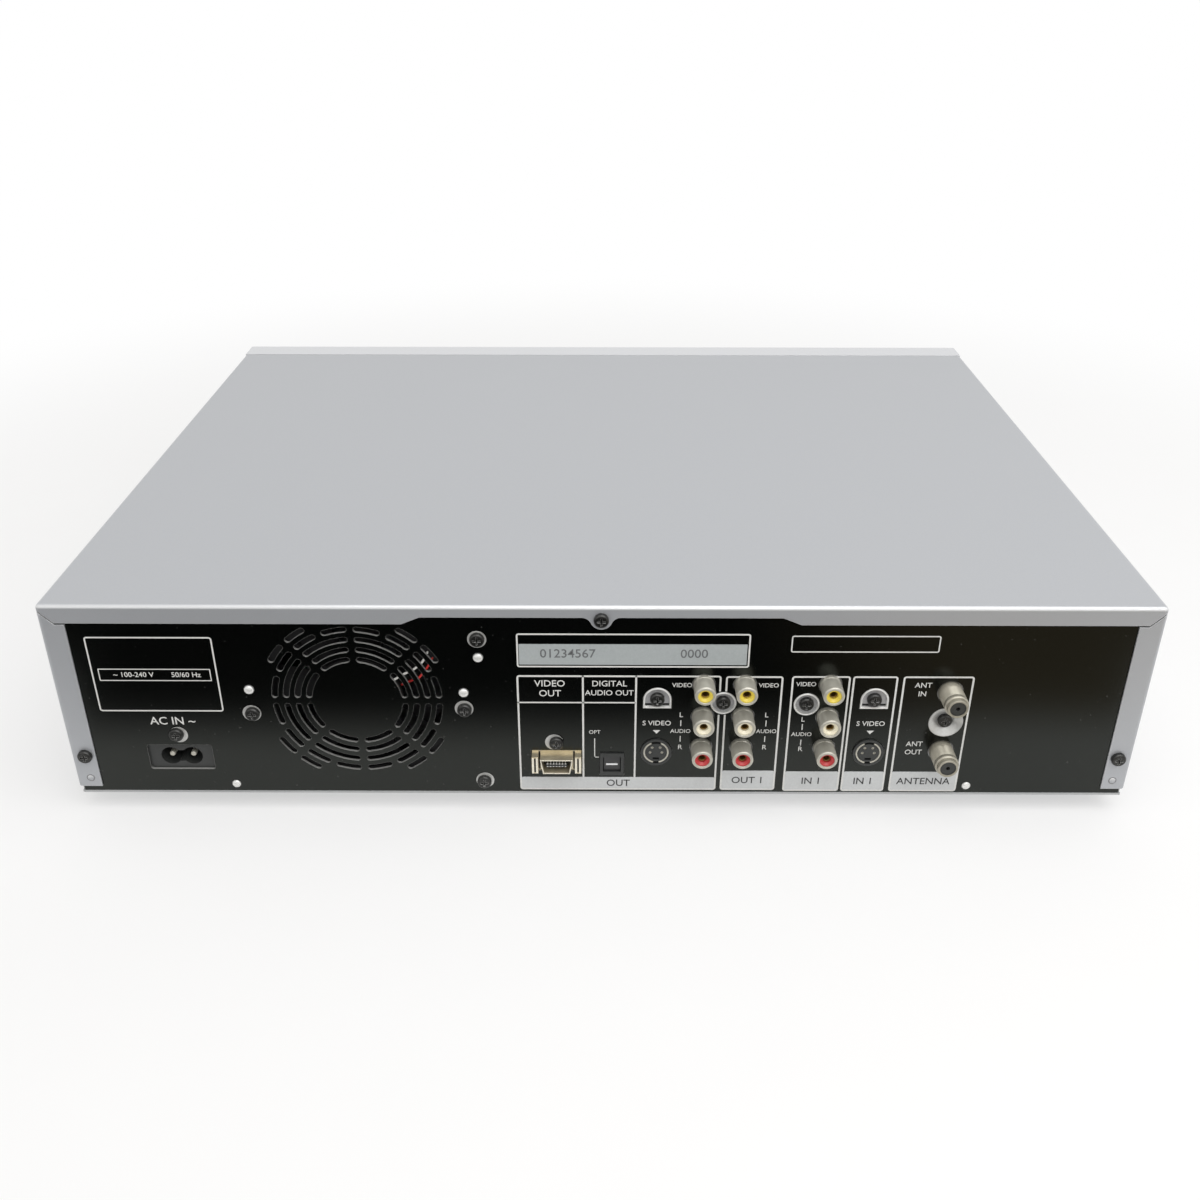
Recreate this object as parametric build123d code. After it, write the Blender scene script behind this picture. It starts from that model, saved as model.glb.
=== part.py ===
from build123d import *
import math
import os

# A combined disc and cassette recorder, in millimetres. +Z is up, the front faces -Y, and the origin
# lies under the middle of the whole recorder on the surface that it stands on.

# Body
BODY_WIDTH = 430.0
BODY_HEIGHT = 88.6  # underside of the chassis to the top of the cover
FOOT_HEIGHT = 8.4
COVER_DEPTH = 311.6  # front edge of the cover to the outside of its rear flanges
FRONT_DEPTH = 24.4  # front panel ahead of the cover
BUTTON_PROUD = 0.8
ANTENNA_REACH = 11.5  # antenna barrels behind the cover's rear flanges
CUT = 1.0  # overrun of every cut
RUN_GAP = 0.3  # clearance between pieces that move past each other
SHAFT_GAP = 0.05  # radial clearance of a shaft or pin in its hole

# Casing sheet
COVER_SHEET = 0.7
PANEL_SHEET = 1.0
CHASSIS_SHEET = 1.0
SHEET_GAP = 0.3
FRONT_GAP = 0.6
COVER_BEND = 1.6
COVER_LIFT = 3.6  # lower edge of the cover above the chassis underside
SIDE_FLANGE = 9.8
TOP_FLANGE = 7.9
TOP_FLANGE_MIDDLE = 4.9
FLANGE_STEP = 76.4  # where the deep part of the top flange ends, from the middle
FLANGE_SLOPE = 7.1
MITRE_GAP = 0.7
MITRE_RUN = 6.1
TAB_RADIUS = 4.3
TAB_BLEND = 3.8
TAB_SCREW_DROP = 5.7
COVER_SCREW_INSET = 5.8
COVER_SCREW_RISE = 18.9  # above the chassis underside
COVER_BOSS_RISE = 7.8
COVER_BOSS_RADIUS = 1.4
CHASSIS_WALL = 20.0
CHASSIS_LIP = 7.0
RIVET_X = 150.0
RIVET_RISE = 4.5
RIVET_RADIUS = 1.7
VENT_COUNT = 9
VENT_LENGTH = 42.0
VENT_WIDTH = 3.2
VENT_PITCH = 8.0
VENT_SET_BACK = 78.0  # middle of the floor vents behind the cover's front edge

# Feet
FOOT_RADIUS = 13.0
FOOT_TAPER = 1.6
FOOT_HOLLOW_RADIUS = 6.5
FOOT_HOLLOW_DEPTH = 4.0
FOOT_INSET = 42.0
FOOT_FRONT_SET_BACK = 34.0
FOOT_REAR_SET_BACK = 48.0

# Screws
SCREW_HEAD_RADIUS = 2.9
SCREW_HEAD_HEIGHT = 2.0
SCREW_HEAD_ROUND = 0.9
SCREW_SHANK_RADIUS = 1.45
SCREW_LENGTH = 6.5
SCREW_CLEAR = 0.12
RECESS_LENGTH = 3.2
RECESS_WIDTH = 0.7
RECESS_DEPTH = 0.9

# Boards
BOARD_RISE = 8.6  # upper face of the boards above the chassis underside
BOARD_SHEET = 1.6
BOARD_MARGIN = 6.0
BOARD_REAR_GAP = 0.8
MAIN_BOARD_DEPTH = 95.0
POWER_BOARD_WIDTH = 68.0
POWER_BOARD_DEPTH = 128.0
STANDOFF_RADIUS = 3.0
STANDOFF_INSET = 6.0
CORE_WIDTH = 42.0
CORE_DEPTH = 36.0
CORE_HEIGHT = 32.0
CORE_LIMB = 9.0
CORE_GAP = 1.5  # between the capacitors and the transformer
CAPACITOR_RADIUS = 12.0
CAPACITOR_HEIGHT = 36.0
CAPACITOR_ROUND = 1.2
CAPACITOR_PITCH = 27.0
CAPACITOR_GAP = 2.5  # behind the disc drive

# Power inlet, at the right-hand end of the row of sockets
SOCKETS_SHARE = 0.465  # how far the row stands to the right, of the room that it leaves
INLET_RISE = 17.9
INLET_CUT_WIDTH = 26.2
INLET_CUT_HEIGHT = 12.0
INLET_CUT_ROUND = 1.0
INLET_BLOCK_WIDTH = 31.0
INLET_BLOCK_DEPTH = 14.0
INLET_RIM = 2.2  # block beyond the cut-out
INLET_LOBE_RADIUS = 4.1
INLET_LOBE_PITCH = 8.6
INLET_WAIST = 5.2
INLET_DEPTH = 9.5
INLET_PIN_RADIUS = 1.15
INLET_PIN_LENGTH = 8.5
INLET_SCREW_RISE = 11.4  # above the middle of the inlet
LUG_WIDTH = 11.0
LUG_MARGIN = 4.2
LUG_DEPTH = 7.5

# Fan and grille
FAN_PITCH = 74.2  # from the inlet
FAN_RISE = 45.4
FAN_SIZE = 70.0
FAN_DEPTH = 15.0
FAN_CORNER = 6.0
FAN_DUCT_RADIUS = 33.6
FAN_BASE_RADIUS = 18.0
FAN_BASE_DEPTH = 3.0
FAN_STRUT_WIDTH = 4.0
FAN_STRUT_COUNT = 4
FAN_TIP_GAP = 1.0
FAN_HUB_RADIUS = 17.0
FAN_HUB_WALL = 1.6
FAN_HUB_DEPTH = 10.5
FAN_HUB_ROUND = 1.2
FAN_BLADE_COUNT = 7
FAN_BLADE_SHEET = 1.3
FAN_ROOT_CHORD = 12.5
FAN_TIP_CHORD = 17.5
FAN_ROOT_PITCH = 48.0
FAN_TIP_PITCH = 32.0
FAN_SHAFT_RADIUS = 1.5
BRACKET_SHEET = 1.0
BRACKET_WIDTH = 74.0
BRACKET_HEIGHT = 72.0
BRACKET_OPENING = 68.6
BRACKET_OPENING_ROUND = 20.0
EAR_PITCH = 42.2  # fan axis to the bracket's screws
EAR_MARGIN = 4.2
EAR_PIN_RADIUS = 1.9
EAR_PIN_PROUD = 0.4
LEFT_PIN_RISE = 5.2
LEFT_SCREW_DROP = 5.9
RIGHT_PIN_RISE = 4.0
RIGHT_SCREW_DROP = 3.9
GRILLE_RADIUS = 19.0
GRILLE_PITCH = 4.5
GRILLE_SLOT = 2.4
GRILLE_SPOKE = 2.6
GRILLE_SPOKE_COUNT = 8
GRILLE_FULL_RINGS = 3
GRILLE_OUTER_SLOT = 6.9

# Partition bracket beside the fan
PARTITION_PITCH = 48.6  # from the fan
PARTITION_HEIGHT = 80.0
PARTITION_DEPTH = 60.0
PARTITION_SET_OFF = 5.6  # screw line to the web
PARTITION_TAB_WIDTH = 10.2
PARTITION_TAB_HEIGHT = 21.0
PARTITION_FOOT_HEIGHT = 11.0
PARTITION_SCREW_RISE = 73.9
PARTITION_PIN_RISE = 65.6
PARTITION_LOW_SCREW_RISE = 6.4

# Component video socket
VIDEO_D_PITCH = 29.8  # from the partition bracket's screws
VIDEO_D_RISE = 16.6
D_TOP_WIDTH = 13.2
D_BOTTOM_WIDTH = 11.0
D_HEIGHT = 6.8
D_WALL = 0.5
D_REACH = 4.5
D_FLANGE_WIDTH = 20.0
D_FLANGE_HEIGHT = 9.6
D_FLANGE_SHEET = 0.6
D_LATCH_WIDTH = 2.6
D_LATCH_HEIGHT = 8.0
D_LATCH_REACH = 3.4
D_CLEAR = 0.4
D_TONGUE_WIDTH = 8.6
D_TONGUE_SHEET = 1.3
D_TONGUE_REACH = 3.2
D_BODY_DEPTH = 12.0
D_BODY_RIM = 1.5
D_SCREW_RISE = 9.0

# Optical output
OPTICAL_PITCH = 22.4  # from the component video socket
OPTICAL_RISE = 15.2
OPTICAL_WIDTH = 9.7
OPTICAL_HEIGHT = 10.7
OPTICAL_PROUD = 0.8
OPTICAL_CLEAR = 0.25
OPTICAL_BODY_DEPTH = 12.0
OPTICAL_RIM = 0.9
OPTICAL_CAVITY_WIDTH = 7.2
OPTICAL_CAVITY_HEIGHT = 7.4
OPTICAL_CAVITY_DEPTH = 10.0
SHUTTER_SHEET = 0.8
SHUTTER_SET_BACK = 1.0
SHUTTER_PIN_RADIUS = 0.4
SHUTTER_PIN_LENGTH = 0.8

# S-video sockets
S_OUT_PITCH = 17.8  # from the optical output
S_RISE = 21.2
S_RING_RADIUS = 6.3
S_PROUD = 0.8
S_CLEAR = 0.25
S_GROOVE_RADIUS = 5.3
S_CORE_RADIUS = 4.3
S_GROOVE_DEPTH = 5.0
S_SHELL_OUTER = 5.0
S_SHELL_WALL = 0.45
S_SHELL_SPLIT = 2.4
S_PIN_HOLE_RADIUS = 0.65
S_PIN_HOLE_DEPTH = 4.0
S_PIN_SPREAD = 2.4
S_PIN_ROW = 1.6
S_KEY_WIDTH = 2.6
S_KEY_HEIGHT = 1.1
S_KEY_DROP = 2.9
S_BLOCK_MARGIN = 0.9
S_BLOCK_DEPTH = 12.0
S_BRACKET_SHEET = 0.8
S_BRACKET_MARGIN = 1.2
S_WINDOW_RADIUS = 5.65
S_WINDOW_FOOT = 4.0
S_SCREW_RISE = 25.0  # above the socket

# Phono jacks
OUT_PITCH = 18.1  # first output column from the S-video output
OUT_COLUMN_PITCH = 16.1
IN_PITCH = 33.5  # input column from the last output column
JACK_ROW_RISE = 23.3
JACK_ROW_PITCH = 15.1
JACK_ROWS = 3
JACK_REACH = 9.2
JACK_RADIUS = 4.2
JACK_WALL = 0.75
JACK_ROUND = 0.6
JACK_CLEAR = 0.45
JACK_SEAT = 5.0
JACK_SINK = 0.6  # insert behind the barrel's rim
JACK_BORE = 1.65
JACK_BORE_DEPTH = 9.0
JACK_FLARE = 0.9
JACK_BLOCK_MARGIN = 3.2
JACK_BLOCK_DEPTH = 14.0
JACK_PLATE_SHEET = 0.8
JACK_PLATE_CLEAR = 0.1
OUT_SCREW_RISE = 44.7
OUT_WINDOW_RADIUS = 5.2
IN_SCREW_OFFSET = 8.6
IN_SCREW_RISE = 44.2

# Antenna module
S_IN_PITCH = 18.1  # second S-video socket from the input column
ANTENNA_PITCH = 29.4  # from the second S-video socket
ANTENNA_RISE = 21.8
ANTENNA_ROW_PITCH = 28.2
ANTENNA_RADIUS = 4.7
ANTENNA_NOSE_RADIUS = 4.0
ANTENNA_NOSE_LENGTH = 1.8
ANTENNA_ROUND = 0.5
ANTENNA_BORE = 2.9
ANTENNA_PIN_HOLE = 0.8
ANTENNA_SINK = 0.4
ANTENNA_CLEAR = 0.5
ANTENNA_BOX_WIDTH = 25.0
ANTENNA_BOX_MARGIN = 9.0
ANTENNA_BOX_DEPTH = 44.0
ANTENNA_BOX_ROUND = 0.8
ANTENNA_WINDOW_RADIUS = 6.9
ANTENNA_DISH_RADIUS = 3.6
ANTENNA_DISH_DEPTH = 1.0

# Front panel
FRONT_WALL = 3.0
FRONT_EDGE = 9.5
HOOK_X_SHARE = 0.349
HOOK_WIDTH = 14.0
HINGE_RADIUS = 1.1  # rounded hinge edge of a flap, half its thickness
HINGE_PIN_RADIUS = 0.8
HINGE_PIN_LENGTH = 2.5
FLAP_RECESS = 0.3  # flaps behind the front face
FLAP_GAP = 0.4
FLAP_WIDTH = 195.0
FLAP_HEIGHT = 28.8
FLAP_RISE = 63.2  # middle of the flap above the chassis underside
DOOR_X_SHARE = -0.279  # places and widths along the front, of the body's width
DOOR_WIDTH_SHARE = 0.3256
DOOR_HEIGHT = 29.0
DOOR_RISE = 27.5
POCKET_DEPTH = 15.0
POCKET_WALL = 2.0
POCKET_JACK_PITCH = 24.0
POCKET_JACK_COUNT = 3
POCKET_JACK_REACH = 8.0
WINDOW_X_SHARE = 0.0512
WINDOW_WIDTH_SHARE = 0.2512
WINDOW_HEIGHT = 25.0
WINDOW_RISE = 27.0
WINDOW_CLEAR = 0.15
WINDOW_ROUND = 3.0
WINDOW_LIP = 1.5
BUTTON_X_SHARE = 0.3256
BUTTON_COLUMN_SHARE = 0.0884
BUTTON_ROW_PITCH = 15.0
BUTTON_WIDTH_SHARE = 0.0605
BUTTON_HEIGHT = 8.6
BUTTON_ROUND = 2.4
BUTTON_CROWN = 0.6
BUTTON_FLANGE = 1.5
BUTTON_FLANGE_SHEET = 1.2
BUTTON_STEM_RADIUS = 2.0
BUTTON_STEM_LENGTH = 4.5
BUTTON_TRAVEL = 0.8
SWITCH_SIZE = 6.0
SWITCH_HEIGHT = 3.5
FRONT_BOARD_MARGIN = 12.0
FRONT_BOARD_HEIGHT = 36.0
FRONT_BOSS_RADIUS = 2.6

# Disc drive
DRIVE_MARGIN_SHARE = 0.374  # to the right-hand chassis wall, of the room beside the drive and the deck
DRIVE_SET_BACK = 6.0  # behind the cover's front edge
DRIVE_RISE = 37.6  # underside of the drive above the chassis underside
DRIVE_WIDTH = 148.0
DRIVE_HEIGHT = 42.0
DRIVE_DEPTH = 188.0
DRIVE_SHEET = 0.8
STAND_SHEET = 1.2
STAND_INSET = 10.0
STAND_FOOT = 9.0
STAND_WIDTH = 16.0
STAND_SET_BACK = 34.0
LOADER_FLOOR = 2.0
LOADER_GAP = 0.3
LOADER_HEIGHT = 28.0
TRAY_RISE = 20.5  # underside of the tray above the drive's underside
TRAY_RAIL = 10.0  # tray narrower than the drive, on each side
TRAY_SHEET = 6.0
TRAY_LENGTH = 186.0
TONGUE_WIDTH = 2.5
TONGUE_SHEET = 2.0
DISC_SET_BACK = 74.0  # disc middle behind the front face
DISC_WELL_RIM = 3.0
DISC_WELL_DEPTH = 2.4
SMALL_WELL_STEP = 20.0
SMALL_WELL_DEPTH = 3.6
TRAY_SLOT_WIDTH = 34.0
TRAY_SLOT_LENGTH = 72.0
TRAY_SLOT_LEAD = 20.0
BEZEL_DROP = 1.2  # middle of the bezel below the middle of the tray
BEZEL_LAP = 3.5  # bezel wider than the tray, on each side
BEZEL_HEIGHT = 14.4
BEZEL_SHEET = 2.8
BEZEL_ROUND = 1.2
GEAR_TEETH = 24
GEAR_MODULE = 1.0
GEAR_PRESSURE_SHARE = 20 / 360  # pressure angle as a share of a turn
GEAR_DEDENDUM_SHARE = 1.25
GEAR_SHEET = 3.0
GEAR_BACKLASH = 0.3
GEAR_POST_RADIUS = 2.0
GEAR_SET_BACK = 49.0  # gear axis behind the front face
GEAR_INSET = 26.0  # gear axis from the tray's left side
GEAR_DROP = 2.0  # gear below the tray's underside
RACK_WIDTH = 4.0
TRAVERSE_WIDTH = 64.0
TRAVERSE_SHEET = 1.2
TRAVERSE_WALL = 4.0
TRAVERSE_HEIGHT = 10.0
TRAVERSE_LEAD = 20.0
TRAVERSE_LENGTH = 112.0
ROD_RADIUS = 1.5
ROD_SPREAD = 22.0
ROD_RISE = 6.5
MOTOR_RADIUS = 12.0
MOTOR_HEIGHT = 5.5
TURNTABLE_RADIUS = 14.0
TURNTABLE_SHEET = 2.2
TURNTABLE_HUB_RADIUS = 7.2
TURNTABLE_HUB_HEIGHT = 4.0
SPINDLE_RADIUS = 1.5
SPINDLE_DEPTH = 4.5
SLED_WIDTH = 56.0
SLED_LENGTH = 26.0
SLED_HEIGHT = 8.5
SLED_GAP = 1.5
LENS_RADIUS = 4.0
LENS_HEIGHT = 0.9

# Cassette deck
DECK_MARGIN_SHARE = 0.32  # to the left-hand chassis wall, of the room beside the drive and the deck
DECK_RISE = 25.6  # deck plate's underside above the chassis underside
DECK_SHEET = 1.2
DECK_DEPTH = 246.0
DECK_SET_BACK = 34.0  # deck plate behind the front face
DECK_WALL_HEIGHT = 54.0
DECK_WALL_DEPTH = 172.0
HOLDER_SHEET = 1.0
HOLDER_WIDTH = 194.0
HOLDER_HEIGHT = 28.4
HOLDER_DEPTH = 100.0
HOLDER_SET_BACK = 40.0
HOLDER_LEDGE = 12.0
HOLDER_SIDE_GAP = 2.0
HOLDER_TRAVEL = 60.0
HOLDER_DROP = 16.0
HOLDER_PIN_RADIUS = 1.8
HOLDER_PIN_SPREAD = 50.0
HOLDER_PIN_PROUD = 0.6
DRUM_RADIUS = 31.0
DRUM_TILT = 6.0
DRUM_SET_BACK = 240.0
DRUM_RISE = 7.0
DRUM_LOWER_HEIGHT = 18.0
DRUM_UPPER_HEIGHT = 19.0
DRUM_ROUND = 1.0
DRUM_SHAFT_RADIUS = 3.0
DRUM_FOOT_RADIUS = 22.0
REEL_SPREAD = 92.0
REEL_SET_BACK = 160.0
REEL_POST_RADIUS = 2.0
REEL_RADIUS = 17.0
REEL_FLANGE = 2.5
REEL_HUB_RADIUS = 8.0
REEL_HUB_HEIGHT = 11.0
REEL_FIN = 1.6
REEL_FIN_WIDTH = 1.8
REEL_FIN_COUNT = 3
CAPSTAN_OFFSET = 40.0
CAPSTAN_SET_BACK = 212.0
CAPSTAN_RADIUS = 1.6
CAPSTAN_HEIGHT = 26.0
FLYWHEEL_RADIUS = 20.0
FLYWHEEL_SHEET = 6.0
FLYWHEEL_GAP = 1.0
PILLAR_RADIUS = 4.0
PILLAR_INSET = 9.0

# Planes and places that follow from the sizes above
HALF_WIDTH = BODY_WIDTH / 2
INNER_HALF = HALF_WIDTH - COVER_SHEET - SHEET_GAP
WALL_X = INNER_HALF - CHASSIS_SHEET
FRONT_Y = BUTTON_PROUD - (BUTTON_PROUD + FRONT_DEPTH + COVER_DEPTH + ANTENNA_REACH) / 2
COVER_FRONT_Y = FRONT_Y + FRONT_DEPTH
REAR_Y = COVER_FRONT_Y + COVER_DEPTH
PANEL_Y = REAR_Y - COVER_SHEET
INSIDE_Y = PANEL_Y - PANEL_SHEET
FLOOR_Z = FOOT_HEIGHT
PAN_Z = FLOOR_Z + CHASSIS_SHEET
TOP_Z = FLOOR_Z + BODY_HEIGHT
PANEL_TOP_Z = TOP_Z - COVER_BEND - SHEET_GAP
PANEL_HALF = HALF_WIDTH - COVER_BEND - SHEET_GAP
COVER_LOW_Z = FLOOR_Z + COVER_LIFT
BOARD_Z = FLOOR_Z + BOARD_RISE
BOARD_REAR_Y = INSIDE_Y - CHASSIS_SHEET - BOARD_REAR_GAP
SCREW_HOLE = SCREW_SHANK_RADIUS + SCREW_CLEAR

SOCKETS_LENGTH = (FAN_PITCH + PARTITION_PITCH + VIDEO_D_PITCH + OPTICAL_PITCH + S_OUT_PITCH + OUT_PITCH
                  + OUT_COLUMN_PITCH + IN_PITCH + S_IN_PITCH + ANTENNA_PITCH)
SOCKETS_ROOM = HALF_WIDTH - SIDE_FLANGE - SOCKETS_LENGTH / 2 - INLET_BLOCK_WIDTH / 2
INLET_X = SOCKETS_SHARE * SOCKETS_ROOM + SOCKETS_LENGTH / 2
INLET_Z = FLOOR_Z + INLET_RISE
FAN_X = INLET_X - FAN_PITCH
FAN_Z = FLOOR_Z + FAN_RISE
FAN_Y = INSIDE_Y - BRACKET_SHEET
PARTITION_X = FAN_X - PARTITION_PITCH
VIDEO_D_X = PARTITION_X - VIDEO_D_PITCH
VIDEO_D_Z = FLOOR_Z + VIDEO_D_RISE
OPTICAL_X = VIDEO_D_X - OPTICAL_PITCH
OPTICAL_Z = FLOOR_Z + OPTICAL_RISE
S_OUT_X = OPTICAL_X - S_OUT_PITCH
OUT_1_X = S_OUT_X - OUT_PITCH
OUT_2_X = OUT_1_X - OUT_COLUMN_PITCH
IN_X = OUT_2_X - IN_PITCH
S_IN_X = IN_X - S_IN_PITCH
S_Z = FLOOR_Z + S_RISE
S_COLUMNS = (S_OUT_X, S_IN_X)
ANTENNA_X = S_IN_X - ANTENNA_PITCH
ANTENNA_ROWS = (FLOOR_Z + ANTENNA_RISE, FLOOR_Z + ANTENNA_RISE + ANTENNA_ROW_PITCH)
ANTENNA_SCREW_Z = sum(ANTENNA_ROWS) / 2
JACK_COLUMNS = (OUT_1_X, OUT_2_X, IN_X)
JACK_ROW_PLACES = [FLOOR_Z + JACK_ROW_RISE + row * JACK_ROW_PITCH for row in range(JACK_ROWS)]
OUT_SCREW = ((OUT_1_X + OUT_2_X) / 2, FLOOR_Z + OUT_SCREW_RISE)
IN_SCREW = (IN_X + IN_SCREW_OFFSET, FLOOR_Z + IN_SCREW_RISE)
S_SCREWS = [(x, S_Z + S_SCREW_RISE) for x in S_COLUMNS]
ANTENNA_SCREW = (ANTENNA_X, ANTENNA_SCREW_Z)
INLET_SCREW = (INLET_X, INLET_Z + INLET_SCREW_RISE)
VIDEO_D_SCREW = (VIDEO_D_X, VIDEO_D_Z + D_SCREW_RISE)
FAN_SCREWS = [(FAN_X + EAR_PITCH, FAN_Z - LEFT_SCREW_DROP), (FAN_X - EAR_PITCH, FAN_Z - RIGHT_SCREW_DROP)]
FAN_PINS = [(FAN_X + EAR_PITCH, FAN_Z + LEFT_PIN_RISE), (FAN_X - EAR_PITCH, FAN_Z + RIGHT_PIN_RISE)]
PARTITION_SCREW = (PARTITION_X, FLOOR_Z + PARTITION_SCREW_RISE)
PARTITION_LOW_SCREW = (PARTITION_X, FLOOR_Z + PARTITION_LOW_SCREW_RISE)
PARTITION_PIN = (PARTITION_X, FLOOR_Z + PARTITION_PIN_RISE)
PANEL_SCREWS = [INLET_SCREW, VIDEO_D_SCREW, *FAN_SCREWS, PARTITION_SCREW, PARTITION_LOW_SCREW]
RIVETS = [(side * RIVET_X, FLOOR_Z + RIVET_RISE) for side in (-1, 1)]
COVER_SCREW_X = HALF_WIDTH - COVER_SCREW_INSET
COVER_SCREWS = [(0, TOP_Z - TAB_SCREW_DROP)]
COVER_SCREWS += [(side * COVER_SCREW_X, FLOOR_Z + COVER_SCREW_RISE) for side in (-1, 1)]
COVER_BOSSES = [(side * COVER_SCREW_X, FLOOR_Z + COVER_BOSS_RISE) for side in (-1, 1)]

DECK_HALF = HOLDER_WIDTH / 2 + HOLDER_SIDE_GAP + DECK_SHEET
MECHANISM_ROOM = 2 * WALL_X - 2 * DECK_HALF - DRIVE_WIDTH
DRIVE_X = WALL_X - DRIVE_MARGIN_SHARE * MECHANISM_ROOM - DRIVE_WIDTH / 2
DRIVE_FRONT_Y = COVER_FRONT_Y + DRIVE_SET_BACK
DRIVE_Z = FLOOR_Z + DRIVE_RISE
TRAY_WIDTH = DRIVE_WIDTH - 2 * TRAY_RAIL
BEZEL_WIDTH = TRAY_WIDTH + 2 * BEZEL_LAP
DISC_WELL_RADIUS = TRAY_WIDTH / 2 - DISC_WELL_RIM
SMALL_WELL_RADIUS = DISC_WELL_RADIUS - SMALL_WELL_STEP
TRAY_Z = DRIVE_Z + TRAY_RISE
TONGUE_Z = TRAY_Z + TRAY_SHEET / 2
BEZEL_Z = TONGUE_Z - BEZEL_DROP
DISC_Y = FRONT_Y + DISC_SET_BACK
LOADER_Z = DRIVE_Z + DRIVE_SHEET + LOADER_FLOOR
TRAVERSE_Z = LOADER_Z + TRAVERSE_SHEET
GEAR_RADIUS = GEAR_TEETH * GEAR_MODULE / 2
GEAR_X = DRIVE_X - TRAY_WIDTH / 2 + GEAR_INSET
GEAR_Y = FRONT_Y + GEAR_SET_BACK

DECK_X = DECK_MARGIN_SHARE * MECHANISM_ROOM + DECK_HALF - WALL_X
DECK_Z = FLOOR_Z + DECK_RISE
DECK_TOP_Z = DECK_Z + DECK_SHEET
DECK_FRONT_Y = FRONT_Y + DECK_SET_BACK
FLAP_Z = FLOOR_Z + FLAP_RISE
HOLDER_FRONT_Y = FRONT_Y + HOLDER_SET_BACK
DRUM_Y = FRONT_Y + DRUM_SET_BACK
CAPSTAN_X = DECK_X + CAPSTAN_OFFSET
CAPSTAN_Y = FRONT_Y + CAPSTAN_SET_BACK
REEL_Y = FRONT_Y + REEL_SET_BACK
REELS = {"supply_reel": DECK_X - REEL_SPREAD / 2, "take_up_reel": DECK_X + REEL_SPREAD / 2}
DOOR_X = DOOR_X_SHARE * BODY_WIDTH
DOOR_WIDTH = DOOR_WIDTH_SHARE * BODY_WIDTH
DOOR_Z = FLOOR_Z + DOOR_RISE
CASSETTE_FLAP = (DECK_X, FLAP_Z, FLAP_WIDTH, FLAP_HEIGHT, 1)
JACK_DOOR = (DOOR_X, DOOR_Z, DOOR_WIDTH, DOOR_HEIGHT, -1)
WINDOW_X = WINDOW_X_SHARE * BODY_WIDTH
WINDOW_WIDTH = WINDOW_WIDTH_SHARE * BODY_WIDTH
WINDOW_Z = FLOOR_Z + WINDOW_RISE
BUTTON_X = BUTTON_X_SHARE * BODY_WIDTH
BUTTON_COLUMN_PITCH = BUTTON_COLUMN_SHARE * BODY_WIDTH
BUTTON_WIDTH = BUTTON_WIDTH_SHARE * BODY_WIDTH
SWITCH_Y = (FRONT_Y + FRONT_WALL + RUN_GAP + BUTTON_FLANGE_SHEET + BUTTON_STEM_LENGTH
            + BUTTON_TRAVEL + RUN_GAP)
FRONT_BOARD_Y = SWITCH_Y + SWITCH_HEIGHT
BUTTON_NAMES = (("record_button", "play_button", "stop_button"),
                ("eject_button", "tray_button", "power_button"))
BUTTONS = {name: (BUTTON_X + (column - 1) * BUTTON_COLUMN_PITCH, WINDOW_Z + (row - 1 / 2) * BUTTON_ROW_PITCH)
           for row, names in enumerate(BUTTON_NAMES) for column, name in enumerate(names)}


def about(middle, width):
    """Low and high limits of a width about its middle."""
    return middle - width / 2, middle + width / 2


def span(x, y, z):
    """Box between low and high limits on each axis."""
    low, high = zip(x, y, z)
    middle = [(a + b) / 2 for a, b in zip(low, high)]
    return Pos(*middle) * Box(*[b - a for a, b in zip(low, high)])


def bar_x(radius, x, y, z):
    """Round bar along X between two limits."""
    return Pos((x[0] + x[1]) / 2, y, z) * Rot(0, 90, 0) * Cylinder(radius, x[1] - x[0])


def bar_y(radius, x, y, z):
    """Round bar along Y between two limits."""
    return Pos(x, (y[0] + y[1]) / 2, z) * Rot(90, 0, 0) * Cylinder(radius, y[1] - y[0])


def bar_z(radius, x, y, z):
    """Round bar along Z between two limits."""
    return Pos(x, y, (z[0] + z[1]) / 2) * Cylinder(radius, z[1] - z[0])


def plate(sketch, y, sheet):
    """Outline in X and Z made into a sheet whose rear face is at y."""
    return extrude(Plane.XZ.offset(-y) * sketch, amount=sheet)


def discs(places, radius):
    """Circles in X and Z at each place."""
    return [Pos(x, z) * Circle(radius) for x, z in places]


def group(solids):
    """Separate solids of one kind, kept apart."""
    return Compound(children=[part.solid() for part in solids])


def folded(box):
    """Edges of a box where sheet is folded: round its top, but not in front, and up its rear corners."""
    top = box.faces().sort_by(Axis.Z)[-1]
    rear = box.faces().sort_by(Axis.Y)[-1]
    return top.edges().sort_by(Axis.Y)[1:] + rear.edges().filter_by(Axis.Z)


def flange_opening():
    """What the cover's rear flanges leave open, with the screw tab standing into it."""
    reach = HALF_WIDTH - SIDE_FLANGE
    deep = TOP_Z - TOP_FLANGE
    shallow = TOP_Z - TOP_FLANGE_MIDDLE
    low = COVER_LOW_Z - CUT
    half = [(0, shallow), (FLANGE_STEP - FLANGE_SLOPE, shallow), (FLANGE_STEP, deep)]
    half += [(reach, deep), (reach, low)]
    opening = make_face(Polyline(*half, *[(-x, z) for x, z in reversed(half)], close=True))
    opening -= Pos(0, TOP_Z - TAB_SCREW_DROP) * Rot(0, 0, 90) * Circle(TAB_RADIUS)
    corners = opening.vertices().sort_by_distance((0, shallow))[:2]
    return fillet(corners, TAB_BLEND)


def mitre(side):
    """Slit between the top flange and a side flange, running out at the corner of the cover."""
    reach = HALF_WIDTH - SIDE_FLANGE - CUT
    bend = HALF_WIDTH - MITRE_RUN
    end = HALF_WIDTH + CUT
    low = TOP_Z - TOP_FLANGE - MITRE_GAP
    rise = end - bend
    lower = [(reach, low), (bend, low), (end, low + rise)]
    upper = [(x, z + MITRE_GAP) for x, z in reversed(lower)]
    return make_face(Polyline(*[(side * x, z) for x, z in lower + upper], close=True))


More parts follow.
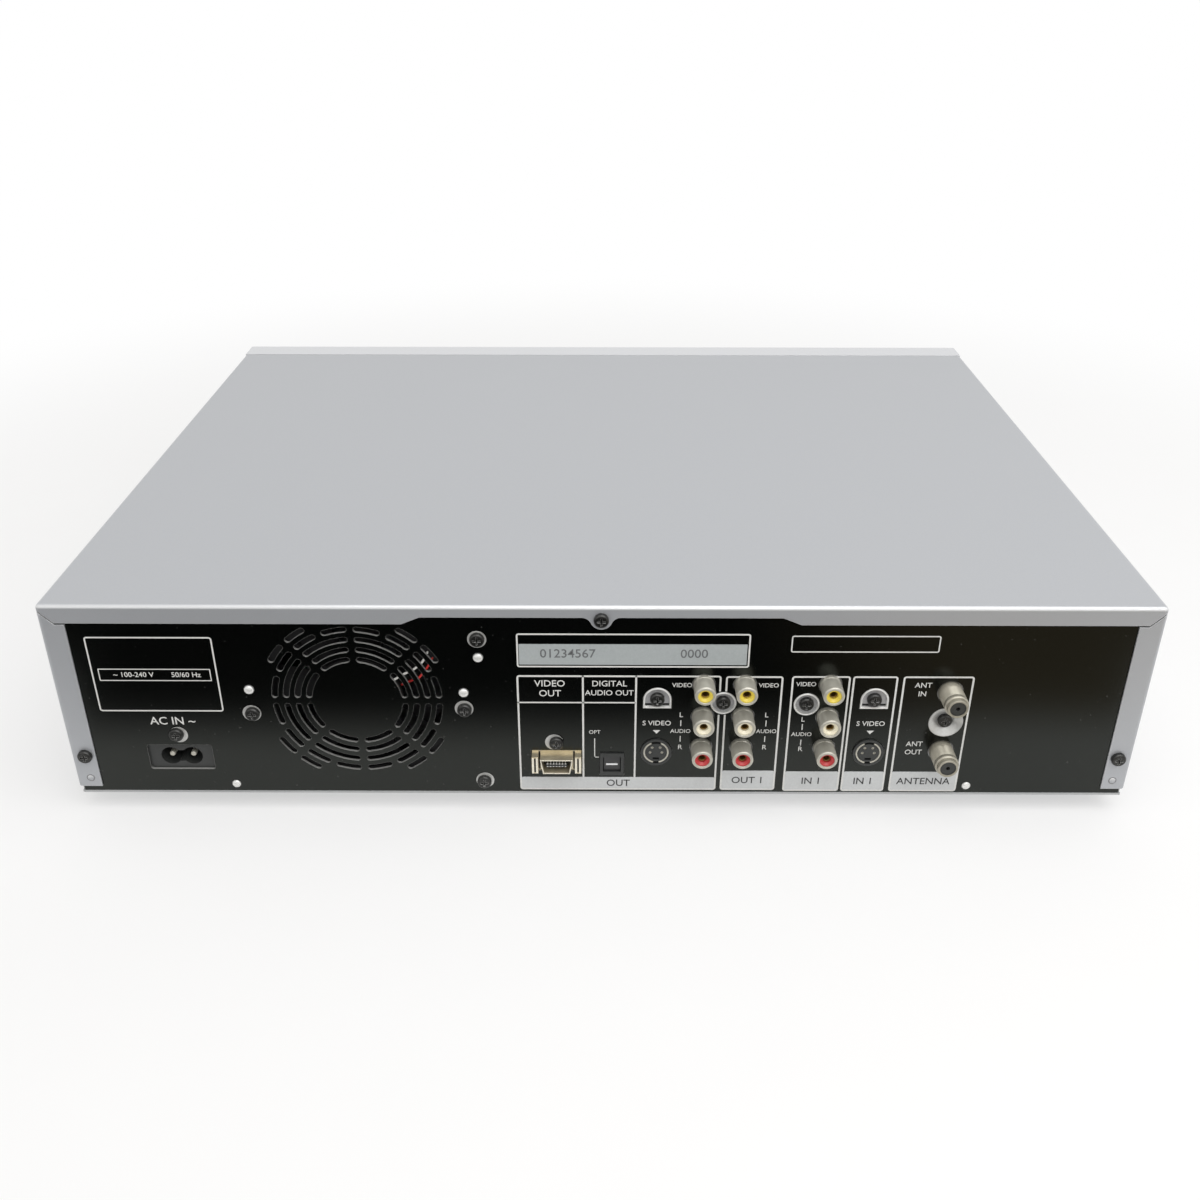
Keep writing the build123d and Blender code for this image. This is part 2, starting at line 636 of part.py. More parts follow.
def top_cover():
    """One folded sheet: top, two sides and narrow flanges that lap the rear panel."""
    outer = span((-HALF_WIDTH, HALF_WIDTH), (COVER_FRONT_Y, REAR_Y), (COVER_LOW_Z, TOP_Z))
    reach = HALF_WIDTH - COVER_SHEET
    inner = span((-reach, reach), (COVER_FRONT_Y - CUT, REAR_Y - COVER_SHEET),
                 (COVER_LOW_Z - CUT, TOP_Z - COVER_SHEET))
    shell = fillet(folded(outer), COVER_BEND) - fillet(folded(inner), COVER_BEND - COVER_SHEET)
    holes = [*discs(COVER_SCREWS, SCREW_HOLE), *discs(COVER_BOSSES, COVER_BOSS_RADIUS + SCREW_CLEAR)]
    openings = [flange_opening(), mitre(-1), mitre(1), *holes]
    return shell - [plate(hole, REAR_Y + CUT, COVER_SHEET + CUT + CUT) for hole in openings]


def grille():
    """Cooling slots: full rings, one ring split in two between the spokes, and short outer slots."""
    octant = 360 / GRILLE_SPOKE_COUNT
    end = (GRILLE_SPOKE + GRILLE_SLOT) / 2
    runs = []
    for ring in range(GRILLE_FULL_RINGS):
        radius = GRILLE_RADIUS + ring * GRILLE_PITCH
        margin = math.degrees(end / radius)
        runs += [(radius, turn * octant + margin, octant - 2 * margin) for turn in range(GRILLE_SPOKE_COUNT)]
    radius = GRILLE_RADIUS + GRILLE_FULL_RINGS * GRILLE_PITCH
    margin = math.degrees(end / radius)
    half = octant / 2
    runs += [(radius, turn * half + margin, half - 2 * margin) for turn in range(2 * GRILLE_SPOKE_COUNT)]
    radius += GRILLE_PITCH
    margin = math.degrees(end / radius)
    sweep = math.degrees(GRILLE_OUTER_SLOT / radius)
    for turn in range(1, GRILLE_SPOKE_COUNT, 2):
        runs += [(radius, turn * octant + margin, sweep), (radius, turn * octant - margin - sweep, sweep)]
    return [SlotArc(CenterArc((0, 0), radius, start, turn), GRILLE_SLOT) for radius, start, turn in runs]


def s_window(x, z):
    """Half-moon window in the panel, through which an S-video bracket is screwed."""
    foot = Pos(x, z - S_WINDOW_FOOT / 2) * Rectangle(2 * S_WINDOW_RADIUS, S_WINDOW_FOOT)
    above = Pos(x, z + S_WINDOW_RADIUS / 2) * Rectangle(2 * S_WINDOW_RADIUS, S_WINDOW_RADIUS)
    return foot + (Pos(x, z) * Circle(S_WINDOW_RADIUS) & above)


def rear_panel():
    """Painted sheet that carries the sockets, standing on the rear edge of the chassis pan."""
    height = PANEL_TOP_Z - PAN_Z
    sheet = Pos(0, PAN_Z + height / 2) * Rectangle(2 * PANEL_HALF, height)
    inlet = RectangleRounded(INLET_CUT_WIDTH, INLET_CUT_HEIGHT, INLET_CUT_ROUND)
    component = Rectangle(D_FLANGE_WIDTH + 2 * D_CLEAR, D_FLANGE_HEIGHT + 2 * D_CLEAR)
    optical = Rectangle(OPTICAL_WIDTH + 2 * OPTICAL_CLEAR, OPTICAL_HEIGHT + 2 * OPTICAL_CLEAR)
    jacks = [(x, z) for x in JACK_COLUMNS for z in JACK_ROW_PLACES]
    sheet -= [Pos(FAN_X, FAN_Z) * slot for slot in grille()]
    sheet -= discs(jacks, JACK_RADIUS + JACK_CLEAR)
    sheet -= discs(COVER_SCREWS + PANEL_SCREWS, SCREW_HOLE)
    sheet -= discs(FAN_PINS + [PARTITION_PIN], EAR_PIN_RADIUS + SCREW_CLEAR)
    sheet -= discs(RIVETS, RIVET_RADIUS + SCREW_CLEAR)
    sheet -= [s_window(x, z) for x, z in S_SCREWS]
    sheet -= discs([(x, S_Z) for x in S_COLUMNS], S_RING_RADIUS + S_CLEAR)
    sheet -= discs([OUT_SCREW, IN_SCREW], OUT_WINDOW_RADIUS)
    sheet -= discs([ANTENNA_SCREW], ANTENNA_WINDOW_RADIUS)
    sheet -= discs([(ANTENNA_X, z) for z in ANTENNA_ROWS], ANTENNA_RADIUS + ANTENNA_CLEAR)
    sheet -= [Pos(INLET_X, INLET_Z) * inlet, Pos(VIDEO_D_X, VIDEO_D_Z) * component]
    sheet -= Pos(OPTICAL_X, OPTICAL_Z) * optical
    bosses = [plate(boss, REAR_Y, COVER_SHEET) for boss in discs(COVER_BOSSES, COVER_BOSS_RADIUS)]
    return plate(sheet, PANEL_Y, PANEL_SHEET) + bosses


def board_corners(x, y):
    """Fixing places near the corners of a board."""
    inset = STANDOFF_INSET
    return [(a, b) for a in (x[0] + inset, x[1] - inset) for b in (y[0] + inset, y[1] - inset)]


def main_board_limits():
    """Limits of the main board across X and Y."""
    x = (BOARD_MARGIN - WALL_X, PARTITION_X - PARTITION_SET_OFF - BOARD_REAR_GAP)
    return x, (BOARD_REAR_Y - MAIN_BOARD_DEPTH, BOARD_REAR_Y)


def power_board_limits():
    """Limits of the power board across X and Y."""
    right = WALL_X - BOARD_MARGIN
    return (right - POWER_BOARD_WIDTH, right), (BOARD_REAR_Y - POWER_BOARD_DEPTH, BOARD_REAR_Y)


def deck_pillars():
    """Places of the pillars that carry the cassette deck, clear of the main board."""
    front = DECK_FRONT_Y + PILLAR_INSET
    rear = BOARD_REAR_Y - MAIN_BOARD_DEPTH - PILLAR_INSET
    reach = DECK_HALF - PILLAR_INSET
    return [(DECK_X + side * reach, y) for side in (-1, 1) for y in (front, rear)]


def foot_places():
    """Places of the four feet under the chassis pan."""
    front = COVER_FRONT_Y + FOOT_FRONT_SET_BACK
    rear = REAR_Y - FOOT_REAR_SET_BACK
    return [(side * (HALF_WIDTH - FOOT_INSET), y) for side in (-1, 1) for y in (front, rear)]


def chassis_pan():
    """Folded pan with board standoffs, deck pillars, floor vents and a flange behind the rear panel."""
    depth = (COVER_FRONT_Y, PANEL_Y)
    inside = (COVER_FRONT_Y, INSIDE_Y)
    pan = span((-INNER_HALF, INNER_HALF), depth, (FLOOR_Z, PAN_Z))
    for side in (-1, 1):
        wall = sorted((side * WALL_X, side * INNER_HALF))
        pan += span(wall, inside, (FLOOR_Z, FLOOR_Z + CHASSIS_WALL))
    across = (-INNER_HALF, INNER_HALF)
    pan += span(across, (INSIDE_Y - CHASSIS_SHEET, INSIDE_Y), (FLOOR_Z, BOARD_Z - SHEET_GAP))
    pan += span(across, (COVER_FRONT_Y, COVER_FRONT_Y + CHASSIS_SHEET), (FLOOR_Z, FLOOR_Z + CHASSIS_LIP))
    standoffs = board_corners(*main_board_limits()) + board_corners(*power_board_limits())
    pan += [bar_z(STANDOFF_RADIUS, x, y, (FLOOR_Z, BOARD_Z - BOARD_SHEET)) for x, y in standoffs]
    pan += [bar_z(PILLAR_RADIUS, x, y, (FLOOR_Z, DECK_Z)) for x, y in deck_pillars()]
    pan += [plate(rivet, PANEL_Y, PANEL_SHEET + CHASSIS_SHEET) for rivet in discs(RIVETS, RIVET_RADIUS)]
    slot = extrude(Rotation(0, 0, 90) * SlotOverall(VENT_LENGTH, VENT_WIDTH), amount=CHASSIS_SHEET + 2 * CUT)
    for middle in (DECK_X, DRIVE_X):
        starts = [middle + (turn - (VENT_COUNT - 1) / 2) * VENT_PITCH for turn in range(VENT_COUNT)]
        pan -= [Pos(x, COVER_FRONT_Y + VENT_SET_BACK, FLOOR_Z - CUT) * slot for x in starts]
    hole = plate(Pos(*PARTITION_LOW_SCREW) * Circle(SCREW_HOLE), INSIDE_Y + CUT, CHASSIS_SHEET + 2 * CUT)
    return pan - hole


def feet():
    """Four moulded feet, tapered and hollow underneath."""
    foot = Pos(0, 0, FOOT_HEIGHT / 2) * Cone(FOOT_RADIUS - FOOT_TAPER, FOOT_RADIUS, FOOT_HEIGHT)
    foot -= bar_z(FOOT_HOLLOW_RADIUS, 0, 0, (-CUT, FOOT_HOLLOW_DEPTH))
    return group([Pos(x, y, 0) * foot for x, y in foot_places()])


def screws():
    """Pan-head screws with a cross recess, all of one size, driven in from behind."""
    head = bar_y(SCREW_HEAD_RADIUS, 0, (0, SCREW_HEAD_HEIGHT), 0)
    head = fillet(head.edges().group_by(Axis.Y)[-1], SCREW_HEAD_ROUND)
    screw = head + bar_y(SCREW_SHANK_RADIUS, 0, (-SCREW_LENGTH, 0), 0)
    recess = (SCREW_HEAD_HEIGHT - RECESS_DEPTH, SCREW_HEAD_HEIGHT + CUT)
    screw -= span(about(0, RECESS_LENGTH), recess, about(0, RECESS_WIDTH))
    screw -= span(about(0, RECESS_WIDTH), recess, about(0, RECESS_LENGTH))
    seats = [(x, REAR_Y, z) for x, z in COVER_SCREWS]
    seats += [(x, PANEL_Y, z) for x, z in PANEL_SCREWS]
    seats += [(x, INSIDE_Y, z) for x, z in S_SCREWS + [OUT_SCREW, IN_SCREW]]
    seats += [(x, INSIDE_Y - ANTENNA_DISH_DEPTH, z) for x, z in [ANTENNA_SCREW]]
    return group([Pos(*seat) * screw for seat in seats])


def lug(screw, low, depth):
    """Upright lug behind the panel, from a block's top to above its screw."""
    x, z = screw
    block = span(about(x, LUG_WIDTH), (INSIDE_Y - depth, INSIDE_Y), (low, z + LUG_MARGIN))
    return block - bar_y(SCREW_HOLE, x, (INSIDE_Y - depth - CUT, INSIDE_Y + CUT), z)


def inlet_pins():
    """Middles of the two pins across X."""
    return about(INLET_X, INLET_LOBE_PITCH)


def ac_inlet():
    """Moulded two-pin inlet behind the panel's cut-out, with its figure-of-eight well and screw lug."""
    top = INLET_Z + INLET_CUT_HEIGHT / 2 + INLET_RIM
    block = span(about(INLET_X, INLET_BLOCK_WIDTH), (INSIDE_Y - INLET_BLOCK_DEPTH, INSIDE_Y), (BOARD_Z, top))
    block += lug(INLET_SCREW, top, LUG_DEPTH)
    well = (INSIDE_Y - INLET_DEPTH, INSIDE_Y + CUT)
    block -= [bar_y(INLET_LOBE_RADIUS, x, well, INLET_Z) for x in inlet_pins()]
    return block - span(about(INLET_X, INLET_LOBE_PITCH), well, about(INLET_Z, INLET_WAIST))


def ac_inlet_pins():
    """Two round contact pins standing in the inlet's well."""
    start = INSIDE_Y - INLET_DEPTH
    pins = [bar_y(INLET_PIN_RADIUS, x, (start, start + INLET_PIN_LENGTH), INLET_Z) for x in inlet_pins()]
    return group([fillet(pin.edges().group_by(Axis.Y)[-1], INLET_PIN_RADIUS / 2) for pin in pins])


def locating_pin(place):
    """Round pin of a bracket, standing a little out of its hole in the panel."""
    return plate(Pos(*place) * Circle(EAR_PIN_RADIUS), PANEL_Y + EAR_PIN_PROUD, PANEL_SHEET + EAR_PIN_PROUD)


def fan_bracket():
    """Sheet frame behind the grille, with an ear on each side for a screw and a locating pin."""
    sheet = Rectangle(BRACKET_WIDTH, BRACKET_HEIGHT)
    reach = 2 * (EAR_PITCH + EAR_MARGIN)
    for screw, pin in zip(FAN_SCREWS, FAN_PINS):
        ear = Rectangle(reach / 2, pin[1] - screw[1] + 2 * EAR_MARGIN)
        sheet += Pos(math.copysign(reach / 4, screw[0] - FAN_X), (pin[1] + screw[1]) / 2 - FAN_Z) * ear
    sheet -= RectangleRounded(BRACKET_OPENING, BRACKET_OPENING, BRACKET_OPENING_ROUND)
    sheet = Pos(FAN_X, FAN_Z) * sheet - discs(FAN_SCREWS, SCREW_HOLE)
    bracket = plate(sheet, INSIDE_Y, BRACKET_SHEET)
    return bracket + [locating_pin(place) for place in FAN_PINS]


def fan_frame():
    """Square fan housing with a round duct and a motor base held by struts on the panel's side."""
    rear = FAN_Y
    front = FAN_Y - FAN_DEPTH
    frame = plate(Pos(FAN_X, FAN_Z) * RectangleRounded(FAN_SIZE, FAN_SIZE, FAN_CORNER), rear, FAN_DEPTH)
    frame -= bar_y(FAN_DUCT_RADIUS, FAN_X, (front - CUT, rear + CUT), FAN_Z)
    base = (rear - FAN_BASE_DEPTH, rear)
    spider = bar_y(FAN_BASE_RADIUS, FAN_X, base, FAN_Z)
    strut = span((0, FAN_DUCT_RADIUS + FAN_TIP_GAP), base, about(0, FAN_STRUT_WIDTH))
    for turn in range(FAN_STRUT_COUNT):
        spider += Pos(FAN_X, 0, FAN_Z) * Rot(0, (turn + 1 / 2) * 360 / FAN_STRUT_COUNT, 0) * strut
    bearing = bar_y(FAN_SHAFT_RADIUS + SHAFT_GAP, FAN_X, (base[0] - CUT, rear + CUT), FAN_Z)
    return frame + spider - bearing


def fan_rotor():
    """Cup-shaped hub with twisted blades and the shaft that runs in the frame's base."""
    low = FAN_BASE_DEPTH - FAN_DEPTH + RUN_GAP
    top = low + FAN_HUB_DEPTH
    hub = bar_z(FAN_HUB_RADIUS, 0, 0, (low, top))
    hub = fillet(hub.edges().group_by(Axis.Z)[-1], FAN_HUB_ROUND)
    hub -= bar_z(FAN_HUB_RADIUS - FAN_HUB_WALL, 0, 0, (low - CUT, top - FAN_HUB_WALL))
    hub += bar_z(FAN_SHAFT_RADIUS, 0, 0, (-FAN_DEPTH, top - FAN_HUB_WALL / 2))
    middle = (low + top) / 2
    root = (FAN_HUB_RADIUS - FAN_HUB_WALL / 2, FAN_ROOT_CHORD, FAN_ROOT_PITCH)
    tip = (FAN_DUCT_RADIUS - FAN_TIP_GAP, FAN_TIP_CHORD, FAN_TIP_PITCH)
    sections = []
    for radius, chord, pitch in (root, tip):
        across = Plane(origin=(radius, 0, middle), x_dir=(0, 1, 0), z_dir=(1, 0, 0))
        sections.append(across * Rot(0, 0, pitch) * Rectangle(chord, FAN_BLADE_SHEET))
    blade = loft(sections, ruled=True)
    hub += [Rot(0, 0, turn * 360 / FAN_BLADE_COUNT) * blade for turn in range(FAN_BLADE_COUNT)]
    return Pos(FAN_X, FAN_Y - FAN_DEPTH, FAN_Z) * Rot(90, 0, 0) * hub


def partition_bracket():
    """Upright sheet beside the fan, with a tab to the panel at the top and a foot on the pan."""
    web = PARTITION_X - PARTITION_SET_OFF
    rear = INSIDE_Y - CHASSIS_SHEET
    top = PAN_Z + PARTITION_HEIGHT
    bracket = span((web, web + BRACKET_SHEET), (INSIDE_Y - PARTITION_DEPTH, rear), (PAN_Z, top))
    tab = (web, web + PARTITION_TAB_WIDTH)
    upper = span(tab, (INSIDE_Y - BRACKET_SHEET, INSIDE_Y), (top - PARTITION_TAB_HEIGHT, top))
    upper += span((web, web + BRACKET_SHEET), (rear, INSIDE_Y), (top - PARTITION_TAB_HEIGHT, top))
    upper -= bar_y(SCREW_HOLE, PARTITION_X, (rear - CUT, INSIDE_Y + CUT), PARTITION_SCREW[1])
    lower = span(tab, (rear - BRACKET_SHEET, rear), (PAN_Z, PAN_Z + PARTITION_FOOT_HEIGHT))
    lower -= bar_y(SCREW_HOLE, PARTITION_X, (rear - BRACKET_SHEET - CUT, rear + CUT), PARTITION_LOW_SCREW[1])
    return bracket + upper + lower + locating_pin(PARTITION_PIN)


def d_outline(inset):
    """Tapered outline of the component video socket, drawn in by a wall."""
    top = D_TOP_WIDTH / 2 - inset
    bottom = D_BOTTOM_WIDTH / 2 - inset
    height = D_HEIGHT / 2 - inset
    return Pos(VIDEO_D_X, VIDEO_D_Z) * make_face(
        Polyline((-bottom, -height), (bottom, -height), (top, height), (-top, height), close=True))


def d_terminal_shell():
    """Plated shell: a flange in the panel's opening, the tapered sleeve and a latch on each side."""
    flange = Pos(VIDEO_D_X, VIDEO_D_Z) * Rectangle(D_FLANGE_WIDTH, D_FLANGE_HEIGHT)
    shell = plate(flange, INSIDE_Y + D_FLANGE_SHEET, D_FLANGE_SHEET)
    shell += plate(d_outline(0), PANEL_Y + D_REACH, PANEL_SHEET + D_REACH)
    reach = (D_FLANGE_WIDTH - D_LATCH_WIDTH) / 2
    latch = (INSIDE_Y, PANEL_Y + D_LATCH_REACH)
    for side in (-1, 1):
        shell += span(about(VIDEO_D_X + side * reach, D_LATCH_WIDTH), latch, about(VIDEO_D_Z, D_LATCH_HEIGHT))
    return shell - plate(d_outline(D_WALL), PANEL_Y + D_REACH + CUT, PANEL_SHEET + D_REACH + 2 * CUT)


def d_terminal_body():
    """Moulded socket body behind the panel, with its contact tongue inside the shell."""
    top = VIDEO_D_Z + D_FLANGE_HEIGHT / 2 + D_BODY_RIM
    width = D_FLANGE_WIDTH + 2 * D_BODY_RIM
    body = span(about(VIDEO_D_X, width), (INSIDE_Y - D_BODY_DEPTH, INSIDE_Y), (BOARD_Z, top))
    body += lug(VIDEO_D_SCREW, top, LUG_DEPTH)
    body -= bar_y(SCREW_HOLE, VIDEO_D_X, (INSIDE_Y - SCREW_LENGTH, INSIDE_Y + CUT), VIDEO_D_SCREW[1])
    tongue = (INSIDE_Y, PANEL_Y + D_TONGUE_REACH)
    return body + span(about(VIDEO_D_X, D_TONGUE_WIDTH), tongue, about(VIDEO_D_Z, D_TONGUE_SHEET))


def shutter_axis():
    """Hinge line of the optical shutter: its Y and Z."""
    radius = SHUTTER_SHEET / 2
    return (PANEL_Y + OPTICAL_PROUD - SHUTTER_SET_BACK - radius,
            OPTICAL_Z + OPTICAL_CAVITY_HEIGHT / 2 - RUN_GAP - radius)


def optical_jack():
    """Square optical output that stands a little proud of the panel, with a deep plug well."""
    face = PANEL_Y + OPTICAL_PROUD
    rear = INSIDE_Y - OPTICAL_BODY_DEPTH
    top = OPTICAL_Z + OPTICAL_HEIGHT / 2
    body = span(about(OPTICAL_X, OPTICAL_WIDTH), (rear, face), about(OPTICAL_Z, OPTICAL_HEIGHT))
    shoulder = about(OPTICAL_X, OPTICAL_WIDTH + 2 * OPTICAL_RIM)
    body += span(shoulder, (rear, INSIDE_Y), (BOARD_Z, top + OPTICAL_RIM))
    body -= span(about(OPTICAL_X, OPTICAL_CAVITY_WIDTH), (face - OPTICAL_CAVITY_DEPTH, face + CUT),
                 about(OPTICAL_Z, OPTICAL_CAVITY_HEIGHT))
    y, z = shutter_axis()
    width = OPTICAL_CAVITY_WIDTH + 2 * (SHUTTER_PIN_LENGTH + SHAFT_GAP)
    return body - bar_x(SHUTTER_PIN_RADIUS + SHAFT_GAP, about(OPTICAL_X, width), y, z)


def optical_shutter():
    """Dust shutter in the optical output's mouth, hung on two small pins."""
    y, z = shutter_axis()
    width = about(OPTICAL_X, OPTICAL_CAVITY_WIDTH - 2 * RUN_GAP)
    low = OPTICAL_Z - OPTICAL_CAVITY_HEIGHT / 2 + RUN_GAP
    leaf = span(width, about(y, SHUTTER_SHEET), (low, z)) + bar_x(SHUTTER_SHEET / 2, width, y, z)
    pins = about(OPTICAL_X, OPTICAL_CAVITY_WIDTH + 2 * SHUTTER_PIN_LENGTH)
    return leaf + bar_x(SHUTTER_PIN_RADIUS, pins, y, z)


def s_video_socket(x):
    """Round socket with a groove for the plug's shield, four contact holes and a key."""
    face = PANEL_Y + S_PROUD
    rear = INSIDE_Y - S_BRACKET_SHEET
    block = S_RING_RADIUS + S_BLOCK_MARGIN
    socket = span(about(x, 2 * block), (rear - S_BLOCK_DEPTH, rear), (BOARD_Z, S_Z + block))
    socket += bar_y(S_RING_RADIUS, x, (rear, face), S_Z)
    groove = (face - S_GROOVE_DEPTH, face + CUT)
    socket -= bar_y(S_GROOVE_RADIUS, x, groove, S_Z) - bar_y(S_CORE_RADIUS, x, groove, S_Z)
    holes = (face - S_PIN_HOLE_DEPTH, face + CUT)
    places = [(-S_PIN_SPREAD, 0), (S_PIN_SPREAD, 0), (-S_PIN_ROW, S_PIN_SPREAD), (S_PIN_ROW, S_PIN_SPREAD)]
    socket -= [bar_y(S_PIN_HOLE_RADIUS, x + a, holes, S_Z + b) for a, b in places]
    return socket - span(about(x, S_KEY_WIDTH), holes, about(S_Z - S_KEY_DROP, S_KEY_HEIGHT))


def s_video_shells():
    """Split shield sleeves that stand in the sockets' grooves."""
    face = PANEL_Y + S_PROUD
    length = (face - S_GROOVE_DEPTH, face - RUN_GAP)
    solids = []
    for x in S_COLUMNS:
        sleeve = bar_y(S_SHELL_OUTER, x, length, S_Z) - bar_y(S_SHELL_OUTER - S_SHELL_WALL, x, length, S_Z)
        sleeve -= span(about(x, S_SHELL_SPLIT), length, about(S_Z, 2 * S_RING_RADIUS))
        solids += sleeve.solids()
    return group(solids)


def s_video_brackets():
    """Earth brackets between the S-video sockets and the panel, screwed through the half-moon windows."""
    solids = []
    for x, z in S_SCREWS:
        width = 2 * (S_RING_RADIUS + S_BRACKET_MARGIN)
        low = S_Z - S_RING_RADIUS - S_BRACKET_MARGIN
        high = z + S_WINDOW_RADIUS + S_BRACKET_MARGIN
        sheet = Pos(x, (low + high) / 2) * Rectangle(width, high - low)
        sheet -= discs([(x, S_Z)], S_RING_RADIUS + S_CLEAR)
        sheet -= discs([(x, z)], SCREW_HOLE)
        solids.append(plate(sheet, INSIDE_Y, S_BRACKET_SHEET))
    return group(solids)


def jack_blocks():
    """Columns, screw and limits across X of the output and input jack blocks."""
    margin = JACK_RADIUS + JACK_BLOCK_MARGIN
    outputs = (JACK_COLUMNS[:2], OUT_SCREW, (OUT_2_X - margin, OUT_1_X + margin))
    reach = IN_SCREW_OFFSET + OUT_WINDOW_RADIUS + JACK_PLATE_SHEET
    inputs = (JACK_COLUMNS[2:], IN_SCREW, (IN_X - margin, IN_X + reach))
    return outputs, inputs


def rca_blocks():
    """Moulded bodies of the phono jacks, standing on the main board behind their earth plates."""
    rear = INSIDE_Y - JACK_PLATE_SHEET
    top = JACK_ROW_PLACES[-1] + JACK_RADIUS + JACK_BLOCK_MARGIN
    solids = []
    for columns, screw, width in jack_blocks():
        block = span(width, (rear - JACK_BLOCK_DEPTH, rear), (BOARD_Z, top))
        seats = [(x, z) for x in columns for z in JACK_ROW_PLACES]
        block -= [bar_y(JACK_RADIUS, x, (rear - JACK_SEAT, rear + CUT), z) for x, z in seats]
        solids.append(block - bar_y(SCREW_HOLE, screw[0], (rear - SCREW_LENGTH, rear + CUT), screw[1]))
    return group(solids)


def rca_plates():
    """Tinned earth plates over the jack blocks, seen through round windows in the panel."""
    top = JACK_ROW_PLACES[-1] + JACK_RADIUS + JACK_BLOCK_MARGIN
    low = JACK_ROW_PLACES[0] - JACK_RADIUS - JACK_BLOCK_MARGIN
    solids = []
    for columns, screw, width in jack_blocks():
        sheet = Pos((width[0] + width[1]) / 2, (low + top) / 2) * Rectangle(width[1] - width[0], top - low)
        sheet -= discs([(x, z) for x in columns for z in JACK_ROW_PLACES], JACK_RADIUS + JACK_PLATE_CLEAR)
        solids.append(plate(sheet - discs([screw], SCREW_HOLE), INSIDE_Y, JACK_PLATE_SHEET))
    return group(solids)


def jack_barrel(x, z, start, end, mouth):
    """Plated sleeve of one phono jack, rounded at its mouth: the last (-1) or the first (0) end along Y."""
    barrel = bar_y(JACK_RADIUS, x, (start, end), z)
    barrel = fillet(barrel.edges().group_by(Axis.Y)[mouth], JACK_ROUND)
    return barrel - bar_y(JACK_RADIUS - JACK_WALL, x, (start - CUT, end + CUT), z)


def rca_shells():
    """Nine plated sleeves, seated in the jack blocks."""
    start = INSIDE_Y - JACK_PLATE_SHEET - JACK_SEAT
    end = PANEL_Y + JACK_REACH
    return group([jack_barrel(x, z, start, end, -1) for x in JACK_COLUMNS for z in JACK_ROW_PLACES])


def jack_inserts(row):
    """Coloured inserts of one row of phono jacks, flared towards the contact bore."""
    start = INSIDE_Y - JACK_PLATE_SHEET - JACK_SEAT
    end = PANEL_Y + JACK_REACH - JACK_SINK
    z = JACK_ROW_PLACES[row]
    radius = JACK_RADIUS - JACK_WALL
    insert = bar_y(radius, 0, (start, end), z) - bar_y(JACK_BORE, 0, (end - JACK_BORE_DEPTH, end + CUT), z)
    flare = Rot(-90, 0, 0) * Cone(JACK_BORE, JACK_BORE + JACK_FLARE, JACK_FLARE)
    insert -= Pos(0, end - JACK_FLARE / 2, z) * flare
    return group([Pos(x, 0, 0) * insert for x in JACK_COLUMNS])


def antenna_module():
    """Metal box of the tuner behind the panel, dished where its screw goes in."""
    tall = (BOARD_Z, ANTENNA_ROWS[1] + ANTENNA_BOX_MARGIN)
    box = span(about(ANTENNA_X, ANTENNA_BOX_WIDTH), (INSIDE_Y - ANTENNA_BOX_DEPTH, INSIDE_Y), tall)
    box = fillet(box.edges().filter_by(Axis.Y), ANTENNA_BOX_ROUND)
    dish = Cone(ANTENNA_DISH_RADIUS, ANTENNA_WINDOW_RADIUS, ANTENNA_DISH_DEPTH)
    box -= Pos(ANTENNA_X, INSIDE_Y - ANTENNA_DISH_DEPTH / 2, ANTENNA_SCREW_Z) * Rot(-90, 0, 0) * dish
    hole = (INSIDE_Y - ANTENNA_DISH_DEPTH - SCREW_LENGTH, INSIDE_Y)
    return box - bar_y(SCREW_HOLE, ANTENNA_X, hole, ANTENNA_SCREW_Z)


def antenna_barrels():
    """Two threaded antenna barrels with a stepped nose."""
    end = REAR_Y + ANTENNA_REACH
    solids = []
    for z in ANTENNA_ROWS:
        barrel = bar_y(ANTENNA_RADIUS, ANTENNA_X, (INSIDE_Y, end - ANTENNA_NOSE_LENGTH), z)
        nose = bar_y(ANTENNA_NOSE_RADIUS, ANTENNA_X, (end - ANTENNA_NOSE_LENGTH, end), z)
        barrel += fillet(nose.edges().group_by(Axis.Y)[-1], ANTENNA_ROUND)
        solids.append(barrel - bar_y(ANTENNA_BORE, ANTENNA_X, (INSIDE_Y - CUT, end + CUT), z))
    return group(solids)


def antenna_insulators():
    """Insulators in the antenna barrels, each with its contact hole."""
    end = REAR_Y + ANTENNA_REACH - ANTENNA_SINK
    solids = []
    for z in ANTENNA_ROWS:
        core = bar_y(ANTENNA_BORE, ANTENNA_X, (INSIDE_Y, end), z)
        solids.append(core - bar_y(ANTENNA_PIN_HOLE, ANTENNA_X, (PANEL_Y, end + CUT), z))
    return group(solids)


def board(limits):
    """Circuit board on its standoffs."""
    x, y = limits
    return span(x, y, (BOARD_Z - BOARD_SHEET, BOARD_Z))


def capacitor_place():
    """Middle of the power board across X, and the capacitors' middle along Y behind the disc drive."""
    x = power_board_limits()[0]
    return sum(x) / 2, DRIVE_FRONT_Y + DRIVE_DEPTH + CAPACITOR_GAP + CAPACITOR_RADIUS


def transformer():
    """Ferrite core round a winding, standing on the power board."""
    x, front = capacitor_place()
    y = front + CAPACITOR_RADIUS + CORE_GAP + CORE_DEPTH / 2
    tall = (BOARD_Z, BOARD_Z + CORE_HEIGHT)
    core = span(about(x, CORE_WIDTH), about(y, CORE_DEPTH), tall)
    inner = (BOARD_Z + CORE_LIMB, BOARD_Z + CORE_HEIGHT - CORE_LIMB)
    core -= span(about(x, CORE_WIDTH - 2 * CORE_LIMB), about(y, CORE_DEPTH + 2 * CUT), inner)
    winding = (CORE_DEPTH - CORE_LIMB) / 2
    return core + bar_x(winding, about(x, CORE_WIDTH - 2 * CORE_LIMB), y, BOARD_Z + CORE_HEIGHT / 2)


